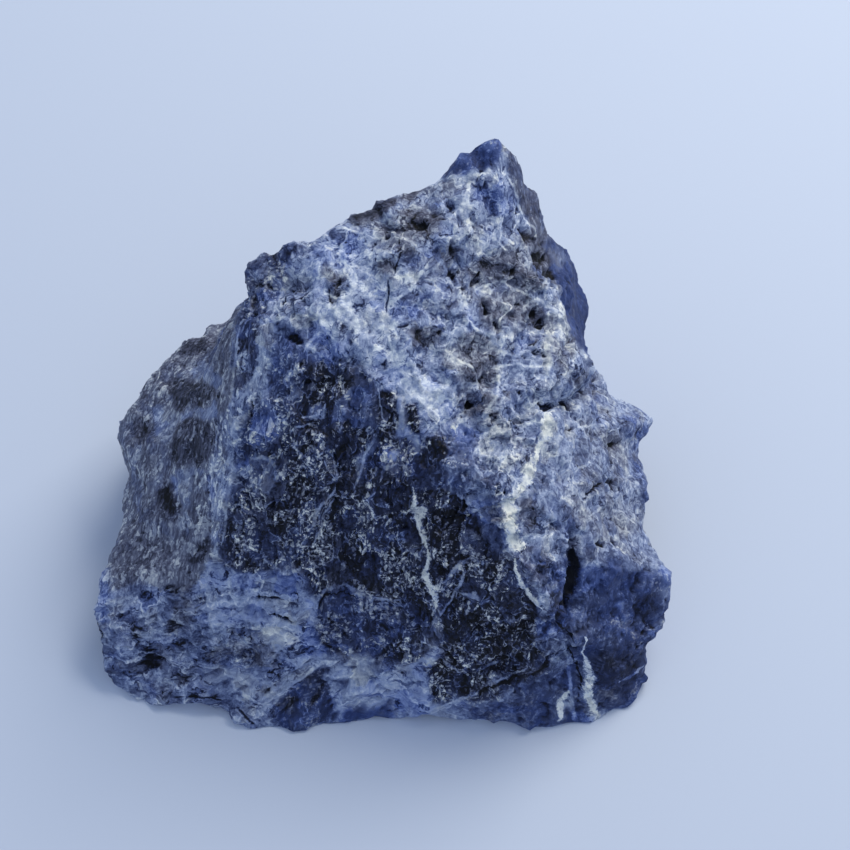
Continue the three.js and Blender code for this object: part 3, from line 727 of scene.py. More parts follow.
# middle, half length, half width and turn, then the change of tone, royal and weather
PATCHES = [
    (332, 252, 38, 18, 140, -0.09, 0.30, -0.1), (351, 302, 12, 6, 100, 0.14, -0.2, 0.1),
    (387, 321, 10, 7, 60, 0.12, -0.2, 0.1), (410, 279, 10, 7, 20, 0.14, -0.2, 0.1),
    (353, 272, 14, 4, 90, 0.10, 0.0, 0.0), (356, 312, 28, 16, 20, 0.06, 0.0, 0.0),
    (466, 208, 20, 6, 90, 0.08, -0.1, 0.1), (429, 288, 10, 8, 0, 0.12, 0.0, 0.1),
    (322, 318, 28, 8, 150, 0.12, 0.0, 0.0), (400, 375, 44, 18, 30, 0.14, 0.1, -0.1),
    (433, 400, 24, 12, 50, 0.12, 0.1, -0.1), (455, 420, 26, 14, 45, 0.12, 0.1, -0.1),
    (408, 230, 38, 22, 160, -0.11, -0.2, 0.5), (500, 200, 24, 18, 30, -0.06, 0.35, -0.1),
    (420, 262, 16, 10, 0, -0.06, 0.35, 0.0), (406, 312, 16, 12, 0, -0.10, 0.35, 0.0),
    (440, 300, 20, 16, 0, 0.0, 0.3, 0.0), (496, 233, 9, 6, 60, 0.16, 0.0, 0.0),
    (512, 288, 44, 28, 70, -0.11, -0.1, 0.5), (476, 360, 28, 26, 20, -0.10, -0.1, 0.5),
    (524, 345, 18, 16, 20, -0.02, 0.35, 0.1), (562, 340, 40, 13, 80, 0.06, -0.1, 0.3),
    (549, 329, 12, 4, 90, 0.08, -0.3, 0.5), (546, 360, 18, 5, 90, 0.08, -0.3, 0.5),
    (577, 381, 14, 12, 60, -0.22, 0.0, 0.1), (502, 450, 24, 26, 30, 0.09, -0.1, 0.3),
    (602, 464, 30, 38, 0, -0.13, -0.1, 0.3), (614, 522, 34, 24, 0, -0.08, -0.2, 0.3),
    (634, 425, 14, 16, 0, -0.14, 0.45, -0.1), (643, 480, 8, 34, 170, -0.14, 0.35, 0.0),
    (566, 524, 26, 8, 95, -0.14, 0.1, 0.0), (531, 512, 16, 11, 60, -0.20, -0.1, 0.3),
    (549, 428, 10, 7, 90, 0.16, -0.5, 0.6), (529, 471, 8, 6, 80, 0.14, -0.5, 0.6),
    (511, 520, 14, 6, 85, 0.14, -0.5, 0.6), (516, 541, 8, 5, 60, 0.12, -0.5, 0.6),
    (530, 562, 20, 18, 30, -0.24, 0.3, 0.1), (552, 580, 24, 10, 70, -0.28, 0.3, 0.0),
    (554, 628, 28, 13, 100, -0.34, 0.4, -0.1), (554, 586, 5, 4, 70, 0.22, -0.2, 0.2),
    (585, 395, 15, 8, 30, 0.06, 0.0, 0.1), (323, 350, 20, 17, 0, -0.02, 0.50, -0.1),
    (345, 348, 14, 12, 0, 0.0, 0.35, 0.0), (200, 540, 16, 5, 120, 0.14, 0.0, 0.0),
    (168, 568, 18, 4, 110, 0.12, 0.1, 0.0), (196, 345, 22, 9, 150, -0.16, -0.1, 0.2),
    (184, 382, 40, 30, 140, -0.04, 0.0, 0.0), (143, 430, 14, 14, 0, -0.16, 0.1, -0.1),
    (166, 500, 14, 8, 60, -0.18, 0.0, 0.2), (150, 540, 12, 40, 20, -0.06, 0.0, 0.1),
    (103, 590, 8, 34, 5, 0.08, 0.4, -0.5), (116, 520, 6, 20, 10, 0.10, 0.4, -0.5),
    (136, 455, 8, 14, 0, 0.06, 0.3, -0.4), (214, 590, 16, 10, 40, 0.04, 0.1, 0.0),
    (182, 614, 17, 26, 0, -0.08, -0.1, 0.3), (288, 640, 10, 5, 0, 0.16, 0.0, 0.1),
    (154, 690, 13, 8, 0, -0.14, 0.6, 0.0), (122, 630, 10, 26, 10, 0.06, 0.2, 0.0),
    (110, 676, 8, 14, 160, -0.20, 0.2, 0.0), (250, 702, 12, 10, 30, 0.12, 0.1, 0.0),
    (246, 566, 40, 8, 5, -0.06, -0.1, 0.1), (345, 650, 10, 7, 20, 0.32, -0.1, 0.2),
    (424, 648, 16, 12, 40, 0.24, 0.1, 0.1), (434, 617, 14, 9, 90, 0.26, 0.1, 0.0),
    (414, 700, 22, 11, 160, 0.03, 0.2, 0.0), (219, 525, 30, 8, 95, 0.10, -0.1, 0.1),
    (592, 578, 14, 14, 90, 0.10, 0.3, -0.1), (624, 586, 26, 14, 0, 0.04, 0.1, 0.0),
    (620, 556, 38, 9, 0, -0.09, -0.1, 0.2), (667, 580, 22, 8, 90, 0.22, 0.0, 0.1),
    (645, 608, 12, 12, 0, -0.12, 0.1, 0.0), (620, 625, 12, 8, 30, 0.10, 0.0, 0.1),
    (656, 624, 8, 9, 0, 0.16, -0.1, 0.3), (614, 676, 26, 28, 0, -0.15, -0.1, 0.1),
    (608, 692, 14, 5, 25, 0.22, -0.3, 0.4), (637, 690, 6, 12, 0, 0.12, 0.1, 0.0),
    (618, 603, 5, 4, 0, 0.35, -0.2, 0.2), (564, 703, 9, 8, 30, 0.32, -0.2, 0.2),
    (599, 716, 9, 9, 0, 0.30, -0.3, 0.3), (571, 573, 26, 9, 95, -0.14, 0.1, -0.1),
    (580, 706, 10, 7, 90, -0.20, 0.0, 0.0), (545, 640, 26, 6, 160, 0.12, 0.1, 0.1),
    (488, 141, 10, 5, 150, 0.14, -0.1, 0.0), (507, 155, 12, 3, 80, 0.16, 0.0, 0.0),
    (488, 190, 16, 20, 30, -0.04, 0.3, 0.0), (372, 475, 26, 12, 90, 0.03, 0.35, 0.0),
    (400, 455, 22, 20, 0, 0.06, 0.35, 0.0), (356, 463, 7, 4, 80, 0.28, -0.1, 0.2),
    (385, 555, 36, 32, 0, 0.04, 0.35, 0.0), (242, 471, 9, 8, 0, 0.26, 0.35, -0.1),
    (270, 428, 16, 12, 0, 0.08, 0.35, 0.0), (445, 586, 8, 8, 0, 0.20, 0.1, 0.0),
    (375, 210, 26, 6, 158, -0.20, -0.1, 0.3), (420, 192, 18, 5, 160, -0.10, -0.1, 0.2),
    (370, 645, 40, 10, 5, 0.04, 0.1, 0.1),
]
print(len(PITS), "pits and", len(PATCHES), "patches")

# %% Press the dabs on
RIPPLE_PIXELS = 6.5
RAGGED_PIT = 0.6


def dab(middle_across, middle_down, half_length, half_width, turn, softness=0.65):
    """How much of a dab lies on each point: 1 within the softness share of an ellipse, fading to 0
    a little outside it. Distances are measured along the turned ellipse's own two axes."""
    angle = math.radians(turn)
    gap = places + RIPPLE_PIXELS * ripples - (middle_across, middle_down)
    along = (gap @ (math.cos(angle), math.sin(angle))) / half_length
    across = (gap @ (-math.sin(angle), math.cos(angle))) / half_width
    return in_view * (1 - ease(softness, 1.25, np.hypot(along, across)))


ripples = np.stack([layered(skin, 1.4, 140 + 10 * k, layers=3, fade=0.8) for k in range(2)], axis=-1)
crumbs = layered(skin, 0.8, 160, layers=2)
pit_depth = np.zeros(len(skin))
for *ellipse, depth in PITS:
    hole_shape = dab(*ellipse, softness=0.1) + RAGGED_PIT * crumbs
    pit_depth = np.maximum(pit_depth, depth * ease(0.25, 0.75, hole_shape))
for *ellipse, lighter, bluer, greyer in PATCHES:
    cover = dab(*ellipse)
    finish["tone"] += cover * lighter
    finish["royal"] += cover * bluer
    finish["weather"] += cover * greyer
print("points in a pit:", int((pit_depth > 0).sum()))

# %% [markdown]
# ## Veins, threads and cracks
#
# White feldspar fills old cracks as veins, and thinner threads of it web the dark faces. Each is a
# line drawn on the picture. A ray from the eye finds the spot on the stone under each of its
# points, so the line lies on the surface and keeps its real width in millimetres. A net point stores
# how far across the nearest line it is, with a sign for the side, because a signed distance passes
# evenly through zero between two net points and even a line thinner than the net stays unbroken.
# The sign also flips midway between two lines, where the plain distance kept beside it is large.

# %% Draw the lines
# each point has its place on the picture and half the width of the line there, in millimetres
VEINS = [
    [(547, 416, .3), (549, 425, .8), (546, 435, .7), (542, 444, .4), (537, 455, .4), (531, 466, .7),
     (529, 476, .7), (523, 486, .45), (516, 496, .45), (510, 504, .55), (511, 515, .8), (512, 528, .85),
     (513, 540, .6), (518, 548, .4), (524, 545, .2)],
    [(514, 560, .1), (515, 570, .2), (522, 581, .28), (530, 596, .35), (538, 604, .3)],
    [(415, 488, .1), (417, 500, .3), (420, 511, .55), (418, 519, .35), (419, 528, .3), (424, 538, .35),
     (426, 550, .3), (427, 560, .25), (425, 570, .25), (428, 581, .4), (433, 590, .45), (435, 600, .3),
     (435, 610, .15)],
    [(406, 512, .2), (412, 510, .35), (419, 512, .3)],
    [(584, 636, .1), (582, 649, .2), (586, 661, .35), (590, 674, .5), (588, 687, .5), (590, 700, .35),
     (595, 711, .45), (600, 722, .7)],
    [(560, 716, .3), (562, 702, .4), (566, 694, .25)],
]

THREADS = [
    [(315, 610, .15), (318, 598, .2), (326, 590, .2), (335, 586, .2), (346, 587, .25), (356, 592, .4),
     (368, 595, .3), (382, 600, .2), (396, 602, .15)],
    [(371, 610, .15), (384, 608, .2), (398, 608, .15)],
    [(335, 462, .12), (336, 478, .15), (334, 494, .12), (327, 500, .15), (319, 510, .2), (314, 522, .2),
     (311, 532, .12)],
    [(325, 462, .1), (330, 474, .15), (334, 486, .12)],
    [(335, 498, .12), (330, 506, .15), (324, 517, .15), (321, 530, .12), (316, 544, .12)],
    [(379, 386, .08), (380, 406, .1), (384, 420, .12), (393, 438, .1)],
    [(402, 396, .15), (403, 412, .2), (403, 426, .25)],
    [(302, 419, .1), (312, 418, .15), (322, 418, .15), (324, 406, .1)],
    [(288, 434, .1), (296, 428, .15), (308, 426, .1)],
    [(377, 434, .2), (371, 444, .15), (364, 458, .15), (359, 476, .12), (353, 490, .1)],
    [(388, 460, .12), (394, 451, .15), (399, 456, .12)],
    [(250, 458, .15), (262, 457, .2), (270, 461, .2), (277, 470, .15), (279, 482, .1)],
    [(380, 480, .12), (384, 468, .15), (396, 464, .12), (407, 467, .2), (404, 472, .15)],
    [(304, 352, .1), (308, 343, .2), (316, 335, .25), (324, 331, .15)],
    [(446, 578, .15), (459, 566, .25), (471, 560, .25), (478, 562, .15)],
    [(463, 572, .2), (459, 583, .2), (452, 598, .15), (440, 616, .15)],
    [(461, 593, .15), (476, 596, .3), (482, 601, .2), (494, 604, .15)],
    [(439, 657, .2), (447, 664, .25), (456, 668, .2), (479, 668, .2), (496, 663, .15)],
    [(436, 710, .15), (458, 701, .25), (474, 694, .15), (495, 682, .2), (520, 668, .12), (545, 658, .1)],
    [(394, 674, .2), (406, 669, .25), (423, 661, .25), (430, 655, .2)],
    [(272, 707, .15), (278, 697, .2), (289, 687, .2), (304, 676, .2), (322, 664, .25), (334, 664, .15)],
    [(327, 683, .15), (331, 696, .15), (335, 709, .2), (337, 724, .15)],
    [(325, 682, .15), (338, 687, .25), (350, 697, .2), (360, 706, .15)],
    [(566, 649, .2), (568, 666, .25), (569, 679, .2), (571, 694, .2), (573, 710, .2), (576, 722, .2)],
    [(621, 681, .15), (632, 674, .2), (644, 668, .15)],
    [(266, 318, .08), (260, 340, .14), (258, 362, .17), (254, 378, .20), (247, 391, .20), (237, 404, .17)],
    [(272, 300, .08), (266, 330, .11), (263, 352, .14), (259, 376, .11)],
    [(244, 300, .08), (239, 330, .17), (237, 355, .17), (233, 385, .17), (231, 405, .17), (233, 423, .17),
     (234, 436, .11)],
    [(231, 408, .14), (228, 436, .14), (226, 460, .17), (223, 480, .14), (219, 504, .17), (218, 530, .17),
     (215, 552, .11)],
    [(234, 430, .11), (229, 463, .17), (233, 471, .14), (228, 496, .17), (226, 520, .14), (222, 545, .11)],
    [(216, 428, .11), (216, 460, .14), (213, 480, .14), (214, 512, .14), (212, 538, .11)],
    [(221, 466, .11), (218, 496, .14)],
    [(249, 307, .2), (258, 304, .25), (257, 297, .15)],
    [(467, 172, .2), (468, 190, .25), (468, 207, .35), (465, 224, .2), (478, 240, .12)],
    [(425, 186, .1), (450, 178, .15), (471, 175, .25), (500, 172, .2)],
    [(503, 218, .15), (500, 235, .25), (513, 243, .15)],
    [(321, 236, .1), (336, 252, .15), (346, 263, .2), (354, 279, .2), (352, 292, .35), (351, 307, .35)],
    [(300, 314, .15), (316, 319, .2), (329, 311, .2), (346, 304, .25)],
    [(386, 314, .25), (386, 329, .25), (390, 345, .15), (396, 362, .2), (412, 382, .2), (428, 392, .15)],
    [(546, 316, .3), (549, 335, .35), (547, 352, .35), (549, 368, .3), (546, 380, .15)],
    [(404, 270, .2), (412, 282, .3), (422, 290, .15)],
    [(437, 264, .2), (427, 273, .2), (418, 276, .1)],
    [(500, 158, .15), (508, 178, .15), (522, 205, .15), (536, 236, .15)],
    [(458, 206, .12), (470, 221, .2), (482, 230, .15), (494, 239, .2), (506, 251, .12)],
    [(482, 248, .12), (490, 240, .18), (498, 228, .18), (500, 216, .12)],
    [(468, 298, .1), (482, 287, .18), (500, 281, .2), (518, 290, .18), (539, 299, .18), (551, 311, .2)],
    [(465, 316, .1), (474, 328, .18), (484, 334, .2), (497, 335, .18), (501, 320, .15), (512, 308, .12)],
    [(482, 353, .12), (492, 350, .18), (501, 351, .18), (512, 356, .15), (524, 350, .2), (545, 353, .15)],
    [(431, 260, .15), (422, 272, .2), (410, 290, .25), (400, 297, .18), (390, 301, .2), (380, 314, .12)],
    [(320, 234, .12), (329, 229, .18), (340, 227, .2), (356, 233, .15), (374, 239, .12)],
    [(476, 380, .12), (470, 368, .18), (458, 360, .2), (446, 350, .15), (436, 352, .1)],
    [(500, 368, .12), (509, 364, .18), (518, 362, .15), (530, 366, .18), (541, 367, .18), (548, 356, .15)],
    [(482, 416, .12), (490, 407, .18), (495, 398, .2), (500, 383, .18), (497, 368, .12)],
    [(296, 305, .1), (305, 296, .18), (317, 290, .2), (333, 295, .18), (350, 298, .2)],
    [(404, 380, .12), (417, 393, .2), (431, 403, .22), (446, 414, .2), (456, 428, .15), (462, 441, .1)],
    [(328, 331, .12), (334, 340, .18), (336, 350, .12)],
    [(566, 418, .12), (580, 428, .18), (596, 424, .2), (610, 432, .15), (622, 428, .1)],
    [(586, 520, .12), (597, 509, .18), (611, 505, .18), (624, 512, .15), (634, 524, .12)],
    [(578, 470, .12), (590, 462, .16), (600, 466, .16), (606, 478, .1)],
]

CRACKS = [
    [(318, 608, .06), (323, 598, .1), (331, 593, .1), (344, 592, .1), (357, 598, .06)],
    [(437, 624, .06), (446, 610, .12), (453, 601, .12), (474, 601, .06)],
    [(440, 650, .08), (453, 658, .12), (458, 668, .06)],
    [(401, 243, .06), (399, 258, .08), (397, 272, .06)],
    [(388, 280, .06), (388, 294, .12), (386, 309, .1)],
    [(586, 499, .1), (593, 491, .2), (602, 480, .1)],
    [(572, 551, .2), (573, 562, .7), (572, 576, .85), (569, 590, .6), (563, 606, .35), (560, 622, .25),
     (570, 636, .25)],
    [(480, 690, .15), (510, 681, .3), (530, 672, .35), (548, 664, .35), (562, 655, .25)],
    [(437, 235, .08), (449, 234, .1)],
    # this one is a painted shadow line under the lower edge of the foot, carved in like the cracks
    [(172, 698, .1), (200, 697, .12), (222, 702, .12), (240, 712, .15), (256, 726, .15)],
    [(270, 613, .1), (281, 620, .18), (294, 623, .1)],
    [(258, 597, .1), (270, 598, .18), (282, 600, .1)],
    [(578, 700, .1), (582, 680, .15), (577, 664, .15), (570, 650, .1)],
]
print(len(VEINS), "veins,", len(THREADS), "threads and", len(CRACKS), "crack_shade")

# %% Lay the lines on the skin
FAR = 12.0
LINE_WANDER = 0.3

finder = BVHTree.FromPolygons((skin * MM).tolist(), squares.tolist())
bends = np.stack([layered(skin, 1.2, 170 + 10 * k) for k in range(3)], axis=-1)
bent = skin + LINE_WANDER * bends


def on_stone(across, down):
    """The spot on the stone under a pixel: the first thing met by a ray from the eye through it."""
    ray = (FOCAL_PIXELS * looking + (across - PICTURE / 2) * picture_right
           + (PICTURE / 2 - down) * picture_up)
    spot, *_ = finder.ray_cast(Vector(EYE * MM), Vector(ray))
    return None if spot is None else np.array(spot) / MM


def lines_on_skin(paths):
    """For each net point, how far across the nearest line it lies, in half widths, with a sign for
    the side and without one. The nearest spot on each stretch is found by dropping the point onto it."""
    across_line = np.full(len(skin), FAR)
    for path in paths:
        spots = [(on_stone(x, y), half_width) for x, y, half_width in path]
        spots = [(spot, half_width) for spot, half_width in spots if spot is not None]
        for (start, start_width), (end, end_width) in zip(spots, spots[1:]):
            run = end - start
            share = np.clip((bent - start) @ run / (run @ run), 0, 1)
            gap = bent - start - share[:, None] * run
            width = start_width + share * (end_width - start_width)
            side = np.sign((np.cross(run, gap) * facing).sum(axis=1))
            distance = side * np.linalg.norm(gap, axis=1) / width
            across_line = np.where(np.abs(distance) < np.abs(across_line), distance, across_line)
    return across_line, np.abs(across_line)


lines = {}
for name, paths in (("vein", VEINS), ("thread", THREADS), ("crack", CRACKS)):
    lines[name], lines[name + " near"] = lines_on_skin(paths)
    print(name, "covers", int((lines[name + " near"] < 1).sum()), "points")

# %% [markdown]
# ## Carving
#
# Every finish has its own relief, and each is a height in millimetres worked out from the place of a
# point. Later the point moves by it in the direction that the skin faces. Granular rock is two sizes
# of rounded lumps with chips among them. Cleaved rock is flat chips and long terraces that run with
# the grain of the stone. Fibres are long ridges, and stepped rock is a slope turned into stairs. All
# of it could be a bump texture, but then the outline would stay smooth and the shadows in the pits
# would be missing.

# %% The relief of each finish
GRAIN_OF_STONE = np.array([0.12, 0.55, 0.83])
GRAIN_OF_STONE /= np.linalg.norm(GRAIN_OF_STONE)
STAIR_HEIGHT = 1.6

warped = skin + 0.7 * np.stack([layered(skin, 2.0, 90 + 10 * k, layers=3) for k in range(3)], axis=-1)
with_grain = stretched(warped, GRAIN_OF_STONE, 2.6)
lumpiness = 0.6 + 0.6 * layered(skin, 5.0, 7, layers=2)
treads = skin[:, 2] / STAIR_HEIGHT + 2.2 * layered(skin, 4.0, 11)
relief = {
    "granular": lumpiness * (0.45 * rounded_grains(warped, 2.4, 1) + 0.26 * rounded_grains(warped, 1.1, 2))
    + 0.25 * chipped(warped, 1.6, 15) + 0.26 * layered(skin, 1.6, 5, fade=0.7),
    "cleaved": 0.44 * chipped(with_grain, 1.7, 3) + 0.26 * chipped(with_grain, 0.8, 4)
    + 0.20 * stairs(3 * layered(with_grain, 3.0, 6)),
    "fibrous": 0.22 * layered(stretched(skin, GRAIN_OF_STONE, 8.0), 1.3, 8, fade=0.7)
    + 0.14 * chipped(stretched(warped, GRAIN_OF_STONE, 3.0), 0.9, 9),
    "stepped": 0.40 * (stairs(treads) - treads) + 0.20 * chipped(warped, 1.3, 12)
    + 0.30 * chipped(warped, 2.8, 16),
}
for name, carving in relief.items():
    print(f"{name}: from {carving.min():.2f} to {carving.max():.2f} mm")

# %% [markdown]
# ## Put the relief together
#
# A point takes its share of each finish's relief, and what is left over is plain broken rock. Large
# flat chips lie under all of it, less so under fibres and steps. Then the pits and cracks go in, and
# the veins and threads stand out by a hair, because feldspar breaks rough. The underside stays flat,
# so the carving fades out where the skin faces the table.

# %% Carve the skin
PIT_DEPTH = 0.7
VEIN_RIB = 0.14
THREAD_RIB = 0.05
CRACK_DEPTH = 0.40

shares = np.stack([finish[name] for name in relief])
plain_share = np.clip(1 - shares.sum(axis=0), 0, 1)
height = sum(share * carving for share, carving in zip(shares, relief.values()))
height = height / np.maximum(shares.sum(axis=0), 1)
height += plain_share * (0.45 * chipped(warped, 2.2, 13) + 0.12 * layered(skin, 1.5, 14))
faceted = 1 - np.clip(0.8 * finish["fibrous"] + 0.4 * finish["stepped"], 0, 1)
height += faceted * (0.62 * chipped(warped, 5.0, 21) + 0.34 * chipped(warped, 2.6, 22))
height -= PIT_DEPTH * pit_depth
height += in_view * VEIN_RIB * (1 - ease(0.5, 1.6, lines["vein near"]))
height += in_view * THREAD_RIB * (1 - ease(0.4, 1.6, lines["thread near"]))
height -= in_view * CRACK_DEPTH * (1 - ease(0.2, 1.6, lines["crack near"]))
height *= ease(-0.95, -0.5, facing[:, 2])
push = height[:, None] * facing
push[:, 2] *= ease(0.1, 0.9, skin[:, 2])
carved = skin + push
carved[:, 2] = np.maximum(carved[:, 2], 0)
print("relief from", height.min().round(2), "to", height.max().round(2), "mm")

# %% [markdown]
# ## Find the hollows
#
# The paint darkens hollows as painted shade and lightens ridges as a painted highlight. Each point is
# compared with the same point of a smoothed copy: where the copy lies above it there is a hollow, and
# where it lies below, a ridge. Blender's Dirty Vertex Colors does much the same, but a number in
# millimetres is easier to put to use in the paint.

# %% Hollows and ridges
normals = outward(carved)
hollow_depth = ((smoothed(carved, 4, back=0.0) - carved) * normals).sum(axis=1)
print("hollows and ridges of", np.percentile(hollow_depth, [5, 95]).round(3), "mm")

# %% [markdown]
# ## One piece for one stone
#
# The carved skin is a piece of its own that takes the place of the plain solid and rides with it.
# Every finish and every line is stored on its points as an attribute, which the material reads.

# %% Make the stone
stone = bpy.data.objects.new("sodalite_stone", new_mesh("sodalite_stone", carved * MM, squares))
bpy.context.collection.objects.link(stone)
stone.data.polygons.foreach_set("use_smooth", np.ones(len(squares), bool))
painted = {**finish, **lines, "hollow": hollow_depth, "pit": pit_depth, "unseen": 1 - in_view}
for name, values in painted.items():
    layer = stone.data.attributes.new(name, "FLOAT", "POINT")
    layer.data.foreach_set("value", values.astype(np.float32))
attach(stone, "root")
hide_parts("stone")
print("the stone has", len(stone.data.vertices), "points and", 2 * len(squares), "triangles")

# %% [markdown]
# ## A paint box of nodes
#
# The colour is finer than the net of points, so it is worked out in the material from each place on
# the stone, in millimetres. A node tree is a list of small sums. Writing each sum as a short
# function keeps the recipe below as readable as the arithmetic it stands for.

# %% Node helpers
material = bpy.data.materials.new("sodalite")
material.use_nodes = True
stone.data.materials.append(material)
tree = material.node_tree
shader = tree.nodes["Principled BSDF"]


def plug(socket, value):
    """Joins another node's output to this input, or sets the input to a plain value."""
    if isinstance(value, bpy.types.NodeSocket):
        tree.links.new(value, socket)
    else:
        socket.default_value = value


def made(kind, inputs, out=0, **settings):
    """A node of this kind with its settings made and its inputs filled, by number or name."""
    node = tree.nodes.new("ShaderNode" + kind)
    for name, value in settings.items():
        setattr(node, name, value)
    for key, value in inputs.items():
        plug(node.inputs[key], value)
    return node.outputs[out]


def calc(operation, first, second=0.0):
    """One step of arithmetic on two values, by its name in the Math node."""
    return made("Math", {0: first, 1: second}, operation=operation)


def plus(*terms):
    """All the terms added up, two at a time."""
    total = terms[0]
    for term in terms[1:]:
        total = calc("ADD", total, term)
    return total


def times(first, second):
    """The first value multiplied by the second."""
    return calc("MULTIPLY", first, second)


def fade(value, low, high):
    """0 below low, 1 above high, and an S-shaped rise between, as ease() does for arrays."""
    ends = {"Value": value, "From Min": low, "From Max": high}
    return made("MapRange", ends, interpolation_type="SMOOTHSTEP")


def blend(amount, first, second):
    """The first colour, turned into the second as the amount goes from 0 to 1."""
    return made("Mix", {0: amount, 6: first, 7: second}, out=2, data_type="RGBA")


def mottle(place, size, detail=6.0, roughness=0.6, swirl=0.0):
    """Cloudy noise with patches of this size in millimetres, spread out to run from 0 to 1."""
    inputs = {"Vector": place, "Scale": 1 / size, "Detail": detail, "Roughness": roughness,
              "Distortion": swirl}
    return made("MapRange", {"Value": made("TexNoise", inputs), "From Min": 0.3, "From Max": 0.7})


def cells(place, size, feature="F1", out="Distance"):
    """Cells of this size in millimetres: the distance to a centre or an edge, or a chance colour."""
    return made("TexVoronoi", {"Vector": place, "Scale": 1 / size}, out=out, feature=feature)


def attribute(name):
    """A number stored on the points of the stone, found by its name."""
    return made("Attribute", {}, out="Fac", attribute_name=name)


def shifted(place, size, amount, detail=3.0):
    """The place moved by up to this many millimetres, by noise of this size."""
    push = made("TexNoise", {"Vector": place, "Scale": 1 / size, "Detail": detail}, out="Color")
    centred = made("VectorMath", {0: push, 1: (0.5, 0.5, 0.5)}, operation="SUBTRACT")
    scaled = made("VectorMath", {0: centred, "Scale": 4.0 * amount}, operation="SCALE")
    return made("VectorMath", {0: place, 1: scaled}, operation="ADD")


def along_grain(place, factor):
    """The place with its reach along the grain of the stone shortened, so a pattern comes out long."""
    axis = tuple(GRAIN_OF_STONE)
    reach = made("VectorMath", {0: place, 1: axis}, out="Value", operation="DOT_PRODUCT")
    back = made("VectorMath", {0: axis, "Scale": times(reach, 1 - 1 / factor)}, operation="SCALE")
    return made("VectorMath", {0: place, 1: back}, operation="SUBTRACT")


def paint(red, green, blue):
    """A colour given as 0 to 255 on a screen, turned into the even steps of light that nodes use."""
    steps = np.array([red, green, blue]) / 255
    light = np.where(steps <= 0.04045, steps / 12.92, ((steps + 0.055) / 1.055) ** 2.4)
    return (*light.tolist(), 1.0)


print("a pale blue as light:", np.round(paint(146, 160, 192), 3))

# %% [markdown]
# ## The colours of sodalite
#
# Fresh sodalite is navy where it is thick and clear, and royal blue where it is cracked. White and
# lilac feldspar grows through it as haze, threads and veins. Weathered skin is a greyish violet, and
# the deepest cleavage is nearly black. Each finish says how much of the surface a colour covers, and
# the noise says where: raising the finish floods more of the noise.

# %% The three scales of colour
BLUE_SCALE = [(0.0, (8, 11, 22)), (0.2, (29, 36, 63)), (0.4, (58, 69, 106)), (0.6, (98, 112, 150)),
              (0.8, (146, 160, 192)), (1.0, (216, 224, 234))]
ROYAL_SCALE = [(0.0, (9, 13, 28)), (0.2, (24, 34, 68)), (0.4, (45, 61, 110)), (0.6, (80, 99, 156)),
               (0.8, (134, 151, 198)), (1.0, (206, 216, 234))]
WEATHER_SCALE = [(0.0, (9, 12, 18)), (0.2, (36, 40, 56)), (0.4, (71, 75, 97)), (0.6, (107, 114, 137)),
                 (0.8, (152, 160, 176)), (1.0, (222, 226, 224))]


def scale_of(tone, steps):
    """A colour ramp from dark to light, with a colour at each named step."""
    ramp = tree.nodes.new("ShaderNodeValToRGB")
    plug(ramp.inputs["Fac"], tone)
    stops = ramp.color_ramp.elements
    while len(stops) < len(steps):
        stops.new(0.5)
    for stop, (position, colour) in zip(stops, steps):
        stop.position = position
        stop.color = paint(*colour)
    return ramp.outputs["Color"]


print("each scale has", len(BLUE_SCALE), "steps from dark to light")

# %% [markdown]
# ## Patterns for broken rock
#
# Broken rock is made of edges, so clouds of noise alone look like felt. The cells of a Voronoi
# texture have crisp borders: a chance colour for each cell makes chips, a thin band along the
# borders makes rims, and noise that starts afresh in each cell, or is squeezed another way in each,
# makes strokes that stop where the next chip starts.

# %% Pattern helpers
def centred(value, strength):
    """A pattern from 0 to 1 moved to run evenly below and above zero."""
    return times(calc("SUBTRACT", value, 0.5), strength)


def ridges(place, size, width=0.05):
    """Branching bright lines on a dark ground: noise folded over so its middle values become crests."""
    folded = made("TexNoise", {"Vector": place, "Scale": 1 / size, "Detail": 3.0, "Roughness": 0.55})
    away = calc("ABSOLUTE", calc("SUBTRACT", folded, 0.5))
    return opposite(fade(away, 0.0, width))


def opposite(value):
    """1 minus the value, so what was covered is bare."""
    return calc("SUBTRACT", 1.0, value)


def between_cells(place, size, width):
    """1 on the borders between cells of this size and 0 a little way off them."""
    return opposite(fade(cells(place, size, feature="DISTANCE_TO_EDGE"), 0.0, width))


def own_pattern(place, chance, size, **look):
    """A mottle that starts afresh in each cell: the place is moved far off by the cell's own colour."""
    far_off = made("VectorMath", {0: chance, "Scale": 40.0}, operation="SCALE")
    return mottle(made("VectorMath", {0: place, 1: far_off}, operation="ADD"), size, **look)


def part(colour, name):
    """One of the three parts of a colour, as a number: a cell's colour holds three draws of chance."""
    return made("SeparateColor", {"Color": colour}, out=name)


def own_way(place, chance):
    """The place squeezed along each axis by an amount that each cell draws for itself, so a pattern
    on it comes out as strokes that lie a different way in every cell."""
    squeeze = made("VectorMath", {0: chance, 1: (1.5, 1.5, 1.5), 2: (0.25, 0.25, 0.25)},
                   operation="MULTIPLY_ADD")
    return made("VectorMath", {0: place, 1: squeeze}, operation="MULTIPLY")


def bright_chips(place, size, crowding):
    """Crisp chips, each of its own brightness: those cells of this size whose chance number is high,
    and more of them where the crowding is high."""
    chance = cells(place, size, out="Color")
    lit = fade(plus(part(chance, "Red"), crowding), 0.74, 0.80)
    return times(lit, plus(times(part(chance, "Green"), 0.7), 0.3))


print("strokes and chips run along", GRAIN_OF_STONE.round(2))

# %% [markdown]
# ## The crust
#
# Pale feldspar and blue sodalite are grown together here in grains of about two millimetres. Each
# grain has its own tone and its own direction of strokes. Splinters break it up further, a pale film
# lies along some borders, and dark creases are painted along others as painted shade.

# %% The crust's pattern
GRAIN_WIDTH = 2.2

